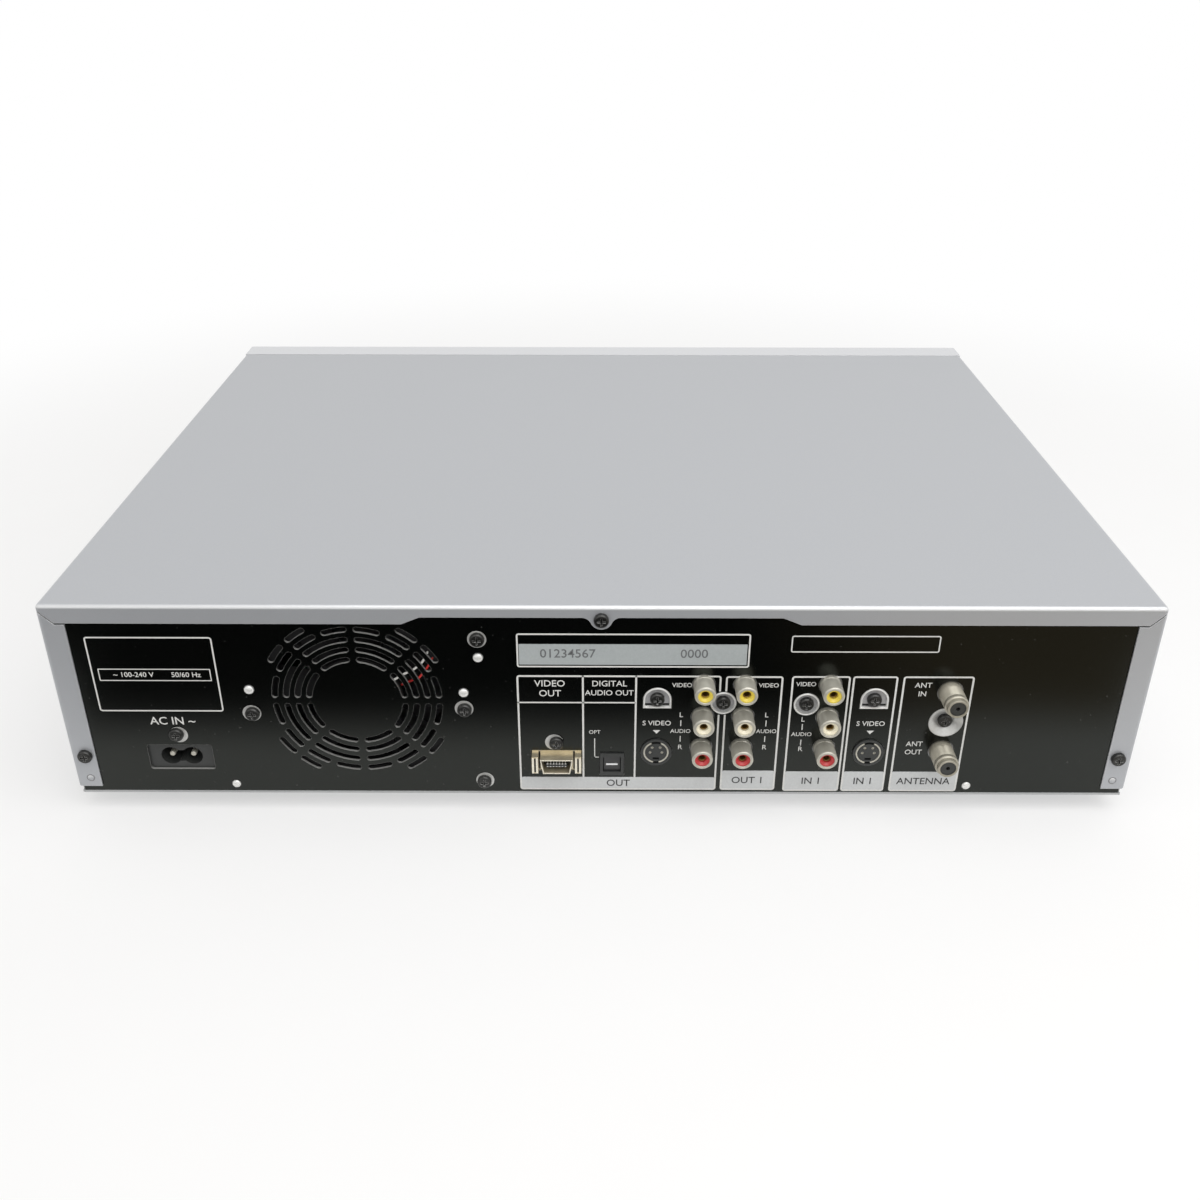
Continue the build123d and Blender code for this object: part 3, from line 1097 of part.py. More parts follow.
def capacitors():
    """Two reservoir capacitors on the power board."""
    x, y = capacitor_place()
    can = bar_z(CAPACITOR_RADIUS, 0, y, (BOARD_Z, BOARD_Z + CAPACITOR_HEIGHT))
    can = fillet(can.edges().group_by(Axis.Z)[-1], CAPACITOR_ROUND)
    return group([Pos(place, 0, 0) * can for place in about(x, CAPACITOR_PITCH)])


def flap_limits(x, z, width, height):
    """Limits of a flap's opening across X and Z."""
    return about(x, width + 2 * FLAP_GAP), about(z, height + 2 * FLAP_GAP)


def flap(x, z, width, height, side):
    """Flap with a rounded hinge edge and end pins: hung from its top (side 1) or set on its foot (-1)."""
    across = about(x, width)
    y = FRONT_Y + FLAP_RECESS + HINGE_RADIUS
    hinge = z + side * (height / 2 - HINGE_RADIUS)
    free = z - side * height / 2
    leaf = span(across, about(y, 2 * HINGE_RADIUS), sorted((hinge, free)))
    leaf += bar_x(HINGE_RADIUS, across, y, hinge)
    return leaf + bar_x(HINGE_PIN_RADIUS, about(x, width + 2 * HINGE_PIN_LENGTH), y, hinge)


def flap_opening(x, z, width, height, side):
    """Opening for a flap in the front wall, with bores for its hinge pins."""
    across, tall = flap_limits(x, z, width, height)
    y = FRONT_Y + FLAP_RECESS + HINGE_RADIUS
    opening = span(across, (FRONT_Y - CUT, FRONT_Y + FRONT_WALL + CUT), tall)
    pins = about(x, width + 2 * HINGE_PIN_LENGTH + 2 * SHAFT_GAP)
    return opening + bar_x(HINGE_PIN_RADIUS + SHAFT_GAP, pins, y, z + side * (height / 2 - HINGE_RADIUS))


def window_outline(margin):
    """Rounded outline of the display window, grown by a margin."""
    return RectangleRounded(WINDOW_WIDTH + 2 * margin, WINDOW_HEIGHT + 2 * margin, WINDOW_ROUND + margin)


def button_outline(margin):
    """Rounded outline of a button, grown by a margin."""
    return RectangleRounded(BUTTON_WIDTH + 2 * margin, BUTTON_HEIGHT + 2 * margin, BUTTON_ROUND)


def front_board_limits():
    """Limits of the front board across X and Z."""
    left = WINDOW_X - WINDOW_WIDTH / 2 - FRONT_BOARD_MARGIN
    right = BUTTON_X + BUTTON_COLUMN_PITCH + BUTTON_WIDTH / 2 + FRONT_BOARD_MARGIN
    return (left, right), about(WINDOW_Z, FRONT_BOARD_HEIGHT)


def front_panel():
    """Moulded front: a rounded shell with openings, the jack pocket behind its door and board bosses."""
    back = COVER_FRONT_Y - FRONT_GAP
    outer = span((-HALF_WIDTH, HALF_WIDTH), (FRONT_Y, back), (FLOOR_Z, TOP_Z))
    reach = HALF_WIDTH - FRONT_WALL
    inner = span((-reach, reach), (FRONT_Y + FRONT_WALL, back + CUT),
                 (FLOOR_Z + FRONT_WALL, TOP_Z - FRONT_WALL))
    panel = fillet(outer.faces().sort_by(Axis.Y)[0].edges(), FRONT_EDGE)
    panel -= fillet(inner.faces().sort_by(Axis.Y)[0].edges(), FRONT_EDGE - FRONT_WALL)
    hook = ((FRONT_Y + FRONT_EDGE, COVER_FRONT_Y), (FLOOR_Z + FRONT_WALL / 2, FLOOR_Z + CHASSIS_LIP))
    panel += [span(about(side * HOOK_X_SHARE * BODY_WIDTH, HOOK_WIDTH), *hook) for side in (-1, 0, 1)]
    across, tall = flap_limits(DOOR_X, DOOR_Z, DOOR_WIDTH, DOOR_HEIGHT)
    wall = POCKET_WALL
    depth = (FRONT_Y + FRONT_WALL - wall / 2, FRONT_Y + POCKET_DEPTH)
    pocket = span((across[0] - wall, across[1] + wall), depth, (tall[0] - wall, tall[1] + wall))
    panel += pocket - span(across, (FRONT_Y - CUT, FRONT_Y + POCKET_DEPTH - wall), tall)
    x, z = front_board_limits()
    bosses = board_corners(x, z)
    panel += [bar_y(FRONT_BOSS_RADIUS, a, (FRONT_Y + FRONT_WALL / 2, FRONT_BOARD_Y), b) for a, b in bosses]
    panel -= [flap_opening(*CASSETTE_FLAP), flap_opening(*JACK_DOOR)]
    through = FRONT_WALL + 2 * CUT
    face = FRONT_Y + FRONT_WALL + CUT
    panel -= plate(Pos(WINDOW_X, WINDOW_Z) * window_outline(0), face, through)
    slot = Pos(DRIVE_X, BEZEL_Z) * Rectangle(BEZEL_WIDTH + 2 * FLAP_GAP, BEZEL_HEIGHT + 2 * FLAP_GAP)
    panel -= plate(slot, face, through)
    hole = button_outline(RUN_GAP)
    return panel - [plate(Pos(*place) * hole, face, through) for place in BUTTONS.values()]


def display_window():
    """Dark window, let into the front wall with a lip behind it."""
    place = Pos(WINDOW_X, WINDOW_Z)
    rear = FRONT_Y + FRONT_WALL
    pane = place * window_outline(-WINDOW_CLEAR)
    lip = place * window_outline(WINDOW_LIP)
    return plate(pane, rear, FRONT_WALL) + plate(lip, rear + WINDOW_LIP, WINDOW_LIP)


def front_jacks():
    """Phono jacks on the floor of the pocket behind the drop-down door."""
    floor = FRONT_Y + POCKET_DEPTH - POCKET_WALL
    first = DOOR_X - (POCKET_JACK_COUNT - 1) / 2 * POCKET_JACK_PITCH
    places = [first + turn * POCKET_JACK_PITCH for turn in range(POCKET_JACK_COUNT)]
    return group([jack_barrel(x, DOOR_Z, floor - POCKET_JACK_REACH, floor, 0) for x in places])


def front_board():
    """Circuit board behind the front panel, with a switch behind each button."""
    x, z = front_board_limits()
    sheet = span(x, (FRONT_BOARD_Y, FRONT_BOARD_Y + BOARD_SHEET), z)
    for a, b in BUTTONS.values():
        sheet += span(about(a, SWITCH_SIZE), (SWITCH_Y, FRONT_BOARD_Y), about(b, SWITCH_SIZE))
    return sheet


def button(x, z):
    """Push button: crowned cap, retaining flange behind the wall and a stem towards its switch."""
    back = FRONT_Y + FRONT_WALL + RUN_GAP
    place = Pos(x, z)
    cap = plate(place * button_outline(0), back, back - FRONT_Y + BUTTON_PROUD)
    cap = fillet(cap.edges().group_by(Axis.Y)[0], BUTTON_CROWN)
    cap += plate(place * button_outline(BUTTON_FLANGE), back + BUTTON_FLANGE_SHEET, BUTTON_FLANGE_SHEET)
    stem = back + BUTTON_FLANGE_SHEET
    return cap + bar_y(BUTTON_STEM_RADIUS, x, (stem, stem + BUTTON_STEM_LENGTH), z)


def drive_case():
    """Sheet case of the disc drive, open in front for the tray."""
    across = about(DRIVE_X, DRIVE_WIDTH)
    rear = DRIVE_FRONT_Y + DRIVE_DEPTH
    case = span(across, (DRIVE_FRONT_Y, rear), (DRIVE_Z, DRIVE_Z + DRIVE_HEIGHT))
    inner = about(DRIVE_X, DRIVE_WIDTH - 2 * DRIVE_SHEET)
    return case - span(inner, (DRIVE_FRONT_Y - CUT, rear - DRIVE_SHEET),
                       (DRIVE_Z + DRIVE_SHEET, DRIVE_Z + DRIVE_HEIGHT - DRIVE_SHEET))


def drive_stands():
    """Two bent stands that hold the drive above the pan."""
    half = DRIVE_WIDTH / 2 - STAND_INSET
    toe = half + STAND_FOOT
    sheet = STAND_SHEET
    under = [(0, DRIVE_Z - sheet), (half - sheet, DRIVE_Z - sheet), (half - sheet, PAN_Z), (toe, PAN_Z)]
    over = [(toe, PAN_Z + sheet), (half, PAN_Z + sheet), (half, DRIVE_Z), (0, DRIVE_Z)]
    right = make_face(Polyline(*under, *over, close=True))
    stand = Pos(DRIVE_X, 0) * (right + mirror(right, Plane.YZ))
    places = (DRIVE_FRONT_Y + STAND_SET_BACK, DRIVE_FRONT_Y + DRIVE_DEPTH - STAND_SET_BACK)
    return group([plate(stand, y + STAND_WIDTH / 2, STAND_WIDTH) for y in places])


def loader_frame():
    """Moulded loader: a floor with grooved rails for the tray and the post of its gear."""
    inner = DRIVE_WIDTH / 2 - DRIVE_SHEET - LOADER_GAP
    depth = (DRIVE_FRONT_Y, DRIVE_FRONT_Y + DRIVE_DEPTH - DRIVE_SHEET - LOADER_GAP)
    base = DRIVE_Z + DRIVE_SHEET
    frame = span(about(DRIVE_X, 2 * inner), depth, (base, LOADER_Z))
    inside = TRAY_WIDTH / 2 + RUN_GAP
    groove = about(TONGUE_Z, TONGUE_SHEET + 2 * RUN_GAP)
    for side in (-1, 1):
        rail = sorted((DRIVE_X + side * inside, DRIVE_X + side * inner))
        frame += span(rail, depth, (base, base + LOADER_HEIGHT))
        slot = sorted((DRIVE_X + side * (inside - CUT), DRIVE_X + side * (inside + TONGUE_WIDTH)))
        frame -= span(slot, (depth[0] - CUT, depth[1] + CUT), groove)
    return frame + bar_z(GEAR_POST_RADIUS, GEAR_X, GEAR_Y, (base, TRAY_Z - RUN_GAP))


def tray_rear():
    """Rear end of the tray when it is closed."""
    return FRONT_Y + BEZEL_SHEET + TRAY_LENGTH


def rack_outline():
    """Straight rack in mesh with the loading gear, as points in X and Y."""
    pitch = math.pi * GEAR_MODULE
    line = GEAR_X - GEAR_RADIUS
    slope = math.tan(math.radians(GEAR_PRESSURE_SHARE * 360))
    half = (pitch - GEAR_BACKLASH) / 4
    tip = half - GEAR_MODULE * slope
    root = half + GEAR_DEDENDUM_SHARE * GEAR_MODULE * slope
    low = line - GEAR_DEDENDUM_SHARE * GEAR_MODULE
    high = line + GEAR_MODULE
    last = int((tray_rear() - GEAR_Y) / pitch) - 1
    points = []
    for tooth in range(-1, last):
        y = GEAR_Y + tooth * pitch
        points += [(low, y - root), (high, y - tip), (high, y + tip), (low, y + root)]
    back = low - RACK_WIDTH
    return [*points, (back, points[-1][1]), (back, points[0][1])]


def disc_tray():
    """Disc tray: two stepped wells, the pickup's slot, side tongues and the rack underneath."""
    front = FRONT_Y + BEZEL_SHEET
    depth = (front, tray_rear())
    top = TRAY_Z + TRAY_SHEET
    tray = span(about(DRIVE_X, TRAY_WIDTH), depth, (TRAY_Z, top))
    tongue = (DRIVE_FRONT_Y + RUN_GAP, depth[1])
    tray += span(about(DRIVE_X, TRAY_WIDTH + 2 * TONGUE_WIDTH), tongue, about(TONGUE_Z, TONGUE_SHEET))
    tray -= bar_z(DISC_WELL_RADIUS, DRIVE_X, DISC_Y, (top - DISC_WELL_DEPTH, top + CUT))
    tray -= bar_z(SMALL_WELL_RADIUS, DRIVE_X, DISC_Y, (top - SMALL_WELL_DEPTH, top + CUT))
    slot = SlotOverall(TRAY_SLOT_LENGTH, TRAY_SLOT_WIDTH)
    middle = DISC_Y - TRAY_SLOT_LEAD + TRAY_SLOT_LENGTH / 2
    tray -= Pos(DRIVE_X, middle, TRAY_Z - CUT) * extrude(Rot(0, 0, 90) * slot, amount=TRAY_SHEET + 2 * CUT)
    rack = extrude(make_face(Polyline(*rack_outline(), close=True)), amount=GEAR_SHEET + GEAR_DROP)
    return tray + Pos(0, 0, TRAY_Z - GEAR_SHEET - GEAR_DROP) * rack


def tray_bezel():
    """Front trim of the tray, closing the slot in the front panel."""
    bezel = span(about(DRIVE_X, BEZEL_WIDTH), (FRONT_Y, FRONT_Y + BEZEL_SHEET), about(BEZEL_Z, BEZEL_HEIGHT))
    return fillet(bezel.faces().sort_by(Axis.Y)[0].edges(), BEZEL_ROUND)


def gear_outline():
    """Involute outline of the loading gear, a gap facing the rack."""
    angle = GEAR_PRESSURE_SHARE * 2 * math.pi
    base = GEAR_RADIUS * math.cos(angle)
    root = GEAR_RADIUS - GEAR_DEDENDUM_SHARE * GEAR_MODULE
    tip = GEAR_RADIUS + GEAR_MODULE
    half = math.pi / (2 * GEAR_TEETH) - GEAR_BACKLASH / (4 * GEAR_RADIUS) + math.tan(angle) - angle
    flank = [(root, half), (base, half)]
    for radius in (GEAR_RADIUS, tip):
        roll = math.acos(base / radius)
        flank.append((radius, half - math.tan(roll) + roll))
    points = []
    for tooth in range(GEAR_TEETH):
        middle = math.pi + (tooth + 1 / 2) * 2 * math.pi / GEAR_TEETH
        turns = [(radius, middle - turn) for radius, turn in flank]
        turns += [(radius, middle + turn) for radius, turn in reversed(flank)]
        points += [(radius * math.cos(turn), radius * math.sin(turn)) for radius, turn in turns]
    return points


def loading_gear():
    """Gear that drives the tray's rack, turning on the loader's post."""
    gear = make_face(Polyline(*gear_outline(), close=True)) - Circle(GEAR_POST_RADIUS + SHAFT_GAP)
    return Pos(GEAR_X, GEAR_Y, TRAY_Z - GEAR_DROP - GEAR_SHEET) * extrude(gear, amount=GEAR_SHEET)


def traverse_limits():
    """Front and rear of the traverse."""
    front = DISC_Y - TRAVERSE_LEAD
    return front, front + TRAVERSE_LENGTH


def traverse_base():
    """Traverse frame with its two guide rods and the body of the spindle motor."""
    front, rear = traverse_limits()
    across = about(DRIVE_X, TRAVERSE_WIDTH)
    base = span(across, (front, rear), (LOADER_Z, TRAVERSE_Z))
    for wall in ((front, front + TRAVERSE_WALL), (rear - TRAVERSE_WALL, rear)):
        base += span(across, wall, (LOADER_Z, LOADER_Z + TRAVERSE_HEIGHT))
    rods = (front + TRAVERSE_WALL / 2, rear - TRAVERSE_WALL / 2)
    base += [bar_y(ROD_RADIUS, x, rods, LOADER_Z + ROD_RISE) for x in about(DRIVE_X, 2 * ROD_SPREAD)]
    top = TRAVERSE_Z + MOTOR_HEIGHT
    base += bar_z(MOTOR_RADIUS, DRIVE_X, DISC_Y, (LOADER_Z, top))
    bearing = (top - SPINDLE_DEPTH - RUN_GAP, top + CUT)
    return base - bar_z(SPINDLE_RADIUS + SHAFT_GAP, DRIVE_X, DISC_Y, bearing)


def turntable():
    """Disc turntable with its centring hub and spindle."""
    low = TRAVERSE_Z + MOTOR_HEIGHT + RUN_GAP
    top = low + TURNTABLE_SHEET
    table = bar_z(TURNTABLE_RADIUS, DRIVE_X, DISC_Y, (low, top))
    hub = Cone(TURNTABLE_HUB_RADIUS, TURNTABLE_HUB_RADIUS - TURNTABLE_SHEET / 2, TURNTABLE_HUB_HEIGHT)
    table += Pos(DRIVE_X, DISC_Y, top + TURNTABLE_HUB_HEIGHT / 2) * hub
    return table + bar_z(SPINDLE_RADIUS, DRIVE_X, DISC_Y, (low - SPINDLE_DEPTH, top))


def pickup_sled():
    """Pickup sled running on the two guide rods, with its lens on top."""
    front = DISC_Y + TURNTABLE_RADIUS + SLED_GAP
    depth = (front, front + SLED_LENGTH)
    low = TRAVERSE_Z + RUN_GAP
    sled = span(about(DRIVE_X, SLED_WIDTH), depth, (low, low + SLED_HEIGHT))
    lens = (low + SLED_HEIGHT / 2, low + SLED_HEIGHT + LENS_HEIGHT)
    sled += bar_z(LENS_RADIUS, DRIVE_X, sum(depth) / 2, lens)
    bores = (depth[0] - CUT, depth[1] + CUT)
    rods = about(DRIVE_X, 2 * ROD_SPREAD)
    return sled - [bar_y(ROD_RADIUS + SHAFT_GAP, x, bores, LOADER_Z + ROD_RISE) for x in rods]


def holder_pins():
    """Places of the holder's guide pins along Y, at the front of their travel."""
    middle = HOLDER_FRONT_Y + HOLDER_DEPTH / 2
    return about(middle, HOLDER_PIN_SPREAD)


def deck_plate():
    """Deck plate with folded side guides: a long slot on each side lets the cassette holder in and down."""
    across = about(DECK_X, 2 * DECK_HALF)
    deck = span(across, (DECK_FRONT_Y, DECK_FRONT_Y + DECK_DEPTH), (DECK_Z, DECK_TOP_Z))
    wall = (DECK_FRONT_Y, DECK_FRONT_Y + DECK_WALL_DEPTH)
    tall = (DECK_Z, DECK_Z + DECK_WALL_HEIGHT)
    for x in (across[0], across[1] - DECK_SHEET):
        deck += span((x, x + DECK_SHEET), wall, tall)
    pins = holder_pins()
    slot = HOLDER_PIN_RADIUS + RUN_GAP
    through = (across[0] - CUT, across[1] + CUT)
    deck -= span(through, (pins[0] - slot, pins[1] + HOLDER_TRAVEL + slot), about(FLAP_Z, 2 * slot))
    for y in pins:
        deck -= span(through, about(y + HOLDER_TRAVEL, 2 * slot), (FLAP_Z - HOLDER_DROP - slot, FLAP_Z))
    post = (DECK_Z, DECK_TOP_Z + REEL_HUB_HEIGHT)
    deck += [bar_z(REEL_POST_RADIUS, x, REEL_Y, post) for x in REELS.values()]
    return deck - bar_z(CAPSTAN_RADIUS + SHAFT_GAP, CAPSTAN_X, CAPSTAN_Y, (DECK_Z - CUT, DECK_TOP_Z + CUT))


def drum_frame():
    """Leaning frame of the head drum: origin on the drum's axis at the lower drum's underside."""
    return Pos(DECK_X, DRUM_Y, DECK_TOP_Z + DRUM_RISE) * Rot(DRUM_TILT, 0, 0)


def drum_base():
    """Fixed lower drum on its foot, with the shaft of the head drum."""
    drum = bar_z(DRUM_RADIUS, 0, 0, (0, DRUM_LOWER_HEIGHT))
    drum += bar_z(DRUM_SHAFT_RADIUS, 0, 0, (0, DRUM_LOWER_HEIGHT + DRUM_UPPER_HEIGHT))
    foot = bar_z(DRUM_FOOT_RADIUS, DECK_X, DRUM_Y, (DECK_TOP_Z, DECK_TOP_Z + DRUM_RISE + DRUM_RISE))
    return drum_frame() * drum + foot


def head_drum():
    """Turning upper drum."""
    low = DRUM_LOWER_HEIGHT + RUN_GAP
    top = low + DRUM_UPPER_HEIGHT
    drum = bar_z(DRUM_RADIUS, 0, 0, (low, top))
    drum = fillet(drum.edges().group_by(Axis.Z)[-1], DRUM_ROUND)
    return drum_frame() * (drum - bar_z(DRUM_SHAFT_RADIUS + SHAFT_GAP, 0, 0, (low - CUT, top + CUT)))


def reel(x):
    """Reel table with a finned hub, turning on a post of the deck plate."""
    low = DECK_TOP_Z + RUN_GAP
    top = low + REEL_HUB_HEIGHT
    table = bar_z(REEL_RADIUS, 0, 0, (low, low + REEL_FLANGE)) + bar_z(REEL_HUB_RADIUS, 0, 0, (low, top))
    fin = span((0, REEL_HUB_RADIUS + REEL_FIN), about(0, REEL_FIN_WIDTH), (low, top))
    table += [Rot(0, 0, turn * 360 / REEL_FIN_COUNT) * fin for turn in range(REEL_FIN_COUNT)]
    return Pos(x, REEL_Y, 0) * (table - bar_z(REEL_POST_RADIUS + SHAFT_GAP, 0, 0, (low - CUT, top + CUT)))


def capstan():
    """Capstan shaft in the deck plate's bearing, with its flywheel below."""
    wheel = (DECK_Z - FLYWHEEL_GAP - FLYWHEEL_SHEET, DECK_Z - FLYWHEEL_GAP)
    shaft = bar_z(CAPSTAN_RADIUS, CAPSTAN_X, CAPSTAN_Y, (wheel[0], DECK_TOP_Z + CAPSTAN_HEIGHT))
    return shaft + bar_z(FLYWHEEL_RADIUS, CAPSTAN_X, CAPSTAN_Y, wheel)


def cassette_holder():
    """Sheet basket that takes the cassette: roof, sides, ledges underneath and guide pins."""
    depth = (HOLDER_FRONT_Y, HOLDER_FRONT_Y + HOLDER_DEPTH)
    tall = about(FLAP_Z, HOLDER_HEIGHT)
    sheet = HOLDER_SHEET
    holder = span(about(DECK_X, HOLDER_WIDTH), depth, tall)
    floor = tall[0] + sheet
    through = (depth[0] - CUT, depth[1] + CUT)
    holder -= span(about(DECK_X, HOLDER_WIDTH - 2 * sheet), through, (floor, tall[1] - sheet))
    holder -= span(about(DECK_X, HOLDER_WIDTH - 2 * HOLDER_LEDGE), through, (tall[0] - CUT, floor + CUT))
    reach = DECK_HALF + HOLDER_PIN_PROUD
    for side in (-1, 1):
        pin = sorted((DECK_X + side * (HOLDER_WIDTH / 2 - sheet), DECK_X + side * reach))
        holder += [bar_x(HOLDER_PIN_RADIUS, pin, y, FLAP_Z) for y in holder_pins()]
    return holder


PARTS = {
    "top_cover": top_cover(),
    "chassis_pan": chassis_pan(),
    "rear_panel": rear_panel(),
    "front_panel": front_panel(),
    "feet": feet(),
    "screws": screws(),
    "ac_inlet": ac_inlet(),
    "ac_inlet_pins": ac_inlet_pins(),
    "fan_bracket": fan_bracket(),
    "fan_frame": fan_frame(),
    "fan_rotor": fan_rotor(),
    "partition_bracket": partition_bracket(),
    "d_terminal_shell": d_terminal_shell(),
    "d_terminal_body": d_terminal_body(),
    "optical_jack": optical_jack(),
    "optical_shutter": optical_shutter(),
    "s_video_out_socket": s_video_socket(S_OUT_X),
    "s_video_in_socket": s_video_socket(S_IN_X),
    "s_video_shells": s_video_shells(),
    "s_video_brackets": s_video_brackets(),
    "rca_blocks": rca_blocks(),
    "rca_plates": rca_plates(),
    "rca_shells": rca_shells(),
    "right_inserts": jack_inserts(0),
    "left_inserts": jack_inserts(1),
    "video_inserts": jack_inserts(2),
    "antenna_module": antenna_module(),
    "antenna_barrels": antenna_barrels(),
    "antenna_insulators": antenna_insulators(),
    "main_board": board(main_board_limits()),
    "power_board": board(power_board_limits()),
    "transformer": transformer(),
    "capacitors": capacitors(),
    "cassette_flap": flap(*CASSETTE_FLAP),
    "jack_door": flap(*JACK_DOOR),
    "display_window": display_window(),
    "front_jacks": front_jacks(),
    "front_board": front_board(),
    "drive_case": drive_case(),
    "drive_stands": drive_stands(),
    "loader_frame": loader_frame(),
    "disc_tray": disc_tray(),
    "tray_bezel": tray_bezel(),
    "loading_gear": loading_gear(),
    "traverse_base": traverse_base(),
    "turntable": turntable(),
    "pickup_sled": pickup_sled(),
    "deck_plate": deck_plate(),
    "drum_base": drum_base(),
    "head_drum": head_drum(),
    "capstan": capstan(),
    "cassette_holder": cassette_holder(),
}
PARTS |= {name: reel(x) for name, x in REELS.items()}
PARTS |= {name: button(x, z) for name, (x, z) in BUTTONS.items()}

os.makedirs("parts", exist_ok=True)
for name, shape in PARTS.items():
    export_step(shape, os.path.join("parts", name + ".step"))
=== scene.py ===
import math

import bmesh
import bpy
from mathutils import Matrix, Vector


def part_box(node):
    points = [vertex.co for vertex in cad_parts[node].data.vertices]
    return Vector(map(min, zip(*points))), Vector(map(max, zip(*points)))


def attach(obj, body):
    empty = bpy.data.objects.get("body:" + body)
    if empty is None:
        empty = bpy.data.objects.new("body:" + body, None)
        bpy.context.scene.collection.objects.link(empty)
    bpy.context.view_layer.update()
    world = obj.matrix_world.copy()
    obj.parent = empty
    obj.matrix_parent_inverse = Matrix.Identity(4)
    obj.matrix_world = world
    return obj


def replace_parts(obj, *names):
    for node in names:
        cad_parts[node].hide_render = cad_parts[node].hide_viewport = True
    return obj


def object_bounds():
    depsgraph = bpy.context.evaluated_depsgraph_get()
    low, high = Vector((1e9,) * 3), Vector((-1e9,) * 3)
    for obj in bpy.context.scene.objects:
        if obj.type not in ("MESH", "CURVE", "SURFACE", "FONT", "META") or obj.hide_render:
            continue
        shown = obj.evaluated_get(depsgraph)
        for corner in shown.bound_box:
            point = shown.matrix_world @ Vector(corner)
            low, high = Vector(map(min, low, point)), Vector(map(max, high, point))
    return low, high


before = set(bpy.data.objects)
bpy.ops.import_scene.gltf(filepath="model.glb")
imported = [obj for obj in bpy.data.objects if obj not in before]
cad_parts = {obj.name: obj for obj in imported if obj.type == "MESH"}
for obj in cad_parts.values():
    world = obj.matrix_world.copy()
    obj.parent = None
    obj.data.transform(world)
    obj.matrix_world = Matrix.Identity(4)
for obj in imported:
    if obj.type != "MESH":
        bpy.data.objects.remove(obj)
cad_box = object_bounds()


# Chassis pan, drive case and deck plates: folded and punched sheets of zinc-plated steel, with a
# faint rolled grain. The pan carries all the rest, and the drive and the deck are screwed to it.

class Value:
    """A socket of a finish. Arithmetic on it adds Math nodes."""

    def __init__(self, finish, socket):
        self.finish = finish
        self.socket = socket

    def worked(self, operation, left, right):
        return self.finish.node("ShaderNodeMath", {"operation": operation}, {0: left, 1: right})

    def at_least(self, other):
        return self.worked("MAXIMUM", self, other)

    def __add__(self, other):
        return self.worked("ADD", self, other)

    def __radd__(self, other):
        return self.worked("ADD", other, self)

    def __sub__(self, other):
        return self.worked("SUBTRACT", self, other)

    def __rsub__(self, other):
        return self.worked("SUBTRACT", other, self)

    def __mul__(self, other):
        return self.worked("MULTIPLY", self, other)

    def __rmul__(self, other):
        return self.worked("MULTIPLY", other, self)

    def __truediv__(self, other):
        return self.worked("DIVIDE", self, other)

    def __rtruediv__(self, other):
        return self.worked("DIVIDE", other, self)

    def __abs__(self):
        return self.worked("ABSOLUTE", self, 0.0)

    def __gt__(self, other):
        return self.worked("GREATER_THAN", self, other)

    def __lt__(self, other):
        return self.worked("LESS_THAN", self, other)


class Finish:
    """The nodes of a material or of the world, around the one shader that they feed."""

    def __init__(self, name, sockets, kind="materials", shader="Principled BSDF"):
        self.material = getattr(bpy.data, kind).new(name)
        self.material.use_nodes = True
        self.tree = self.material.node_tree
        self.shader = self.tree.nodes[shader]
        self.shade(sockets)

    def feed(self, socket, value):
        if isinstance(value, Value):
            self.tree.links.new(value.socket, socket)
        else:
            socket.default_value = value

    def shade(self, sockets):
        for name, value in sockets.items():
            self.feed(self.shader.inputs[name], value)

    def node(self, kind, settings=None, sockets=None, output=0):
        made = self.tree.nodes.new(kind)
        for name, value in (settings or {}).items():
            setattr(made, name, value)
        for name, value in (sockets or {}).items():
            self.feed(made.inputs[name], value)
        return Value(self, made.outputs[output])


def grain(finish, size, detail=2.0, stretch=(1, 1, 1)):
    """Noise from 0 to 1 over the piece, with a grain of the given size in millimetres."""
    place = finish.node("ShaderNodeTexCoord", output="Object")
    spread = [1000 / size * share for share in stretch]
    placed = finish.node("ShaderNodeMapping", {}, {"Vector": place, "Scale": spread})
    return finish.node("ShaderNodeTexNoise", {}, {"Vector": placed, "Scale": 1.0, "Detail": detail})


def tint(finish, mask, first, second):
    """Colour that goes from the first to the second with a mask."""
    sockets = {0: mask, 6: (*first, 1.0), 7: (*second, 1.0)}
    return finish.node("ShaderNodeMix", {"data_type": "RGBA"}, sockets, output=2)


def softened(finish, radius):
    """Surface direction with the edges eased by a radius in millimetres."""
    return finish.node("ShaderNodeBevel", {"samples": 4}, {"Radius": radius / 1000})


def relief(finish, height, depth, ease=0.15):
    """Bumps of the given depth on eased edges, in millimetres."""
    sockets = {"Height": height, "Distance": depth / 1000, "Normal": softened(finish, ease)}
    return finish.node("ShaderNodeBump", {}, sockets)


def dress(finish, *names):
    """Gives CAD nodes a finish."""
    for name in names:
        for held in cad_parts[name].material_slots:
            held.material = finish.material


zinc = Finish("zinc_plate", {"Metallic": 0.6})
rolled = grain(zinc, 2.0, 3.0, (1.0, 0.06, 1.0))
clouded = grain(zinc, 18.0)
zinc.shade({
    "Base Color": tint(zinc, clouded, (0.38, 0.39, 0.40), (0.50, 0.51, 0.51)),
    "Roughness": 0.36 + 0.2 * rolled,
    "Normal": relief(zinc, rolled, 0.01),
})
dress(zinc, "chassis_pan", "drive_case", "drive_stands", "traverse_base", "deck_plate",
      "cassette_holder")


# Feet, socket blocks and drive mouldings: plastic with the dull fine texture of a spark-eroded
# mould, black, charcoal, grey or left in its natural colour. The feet snap into the pan, the
# blocks stand on the main board, and the fan and the loader are screwed in.

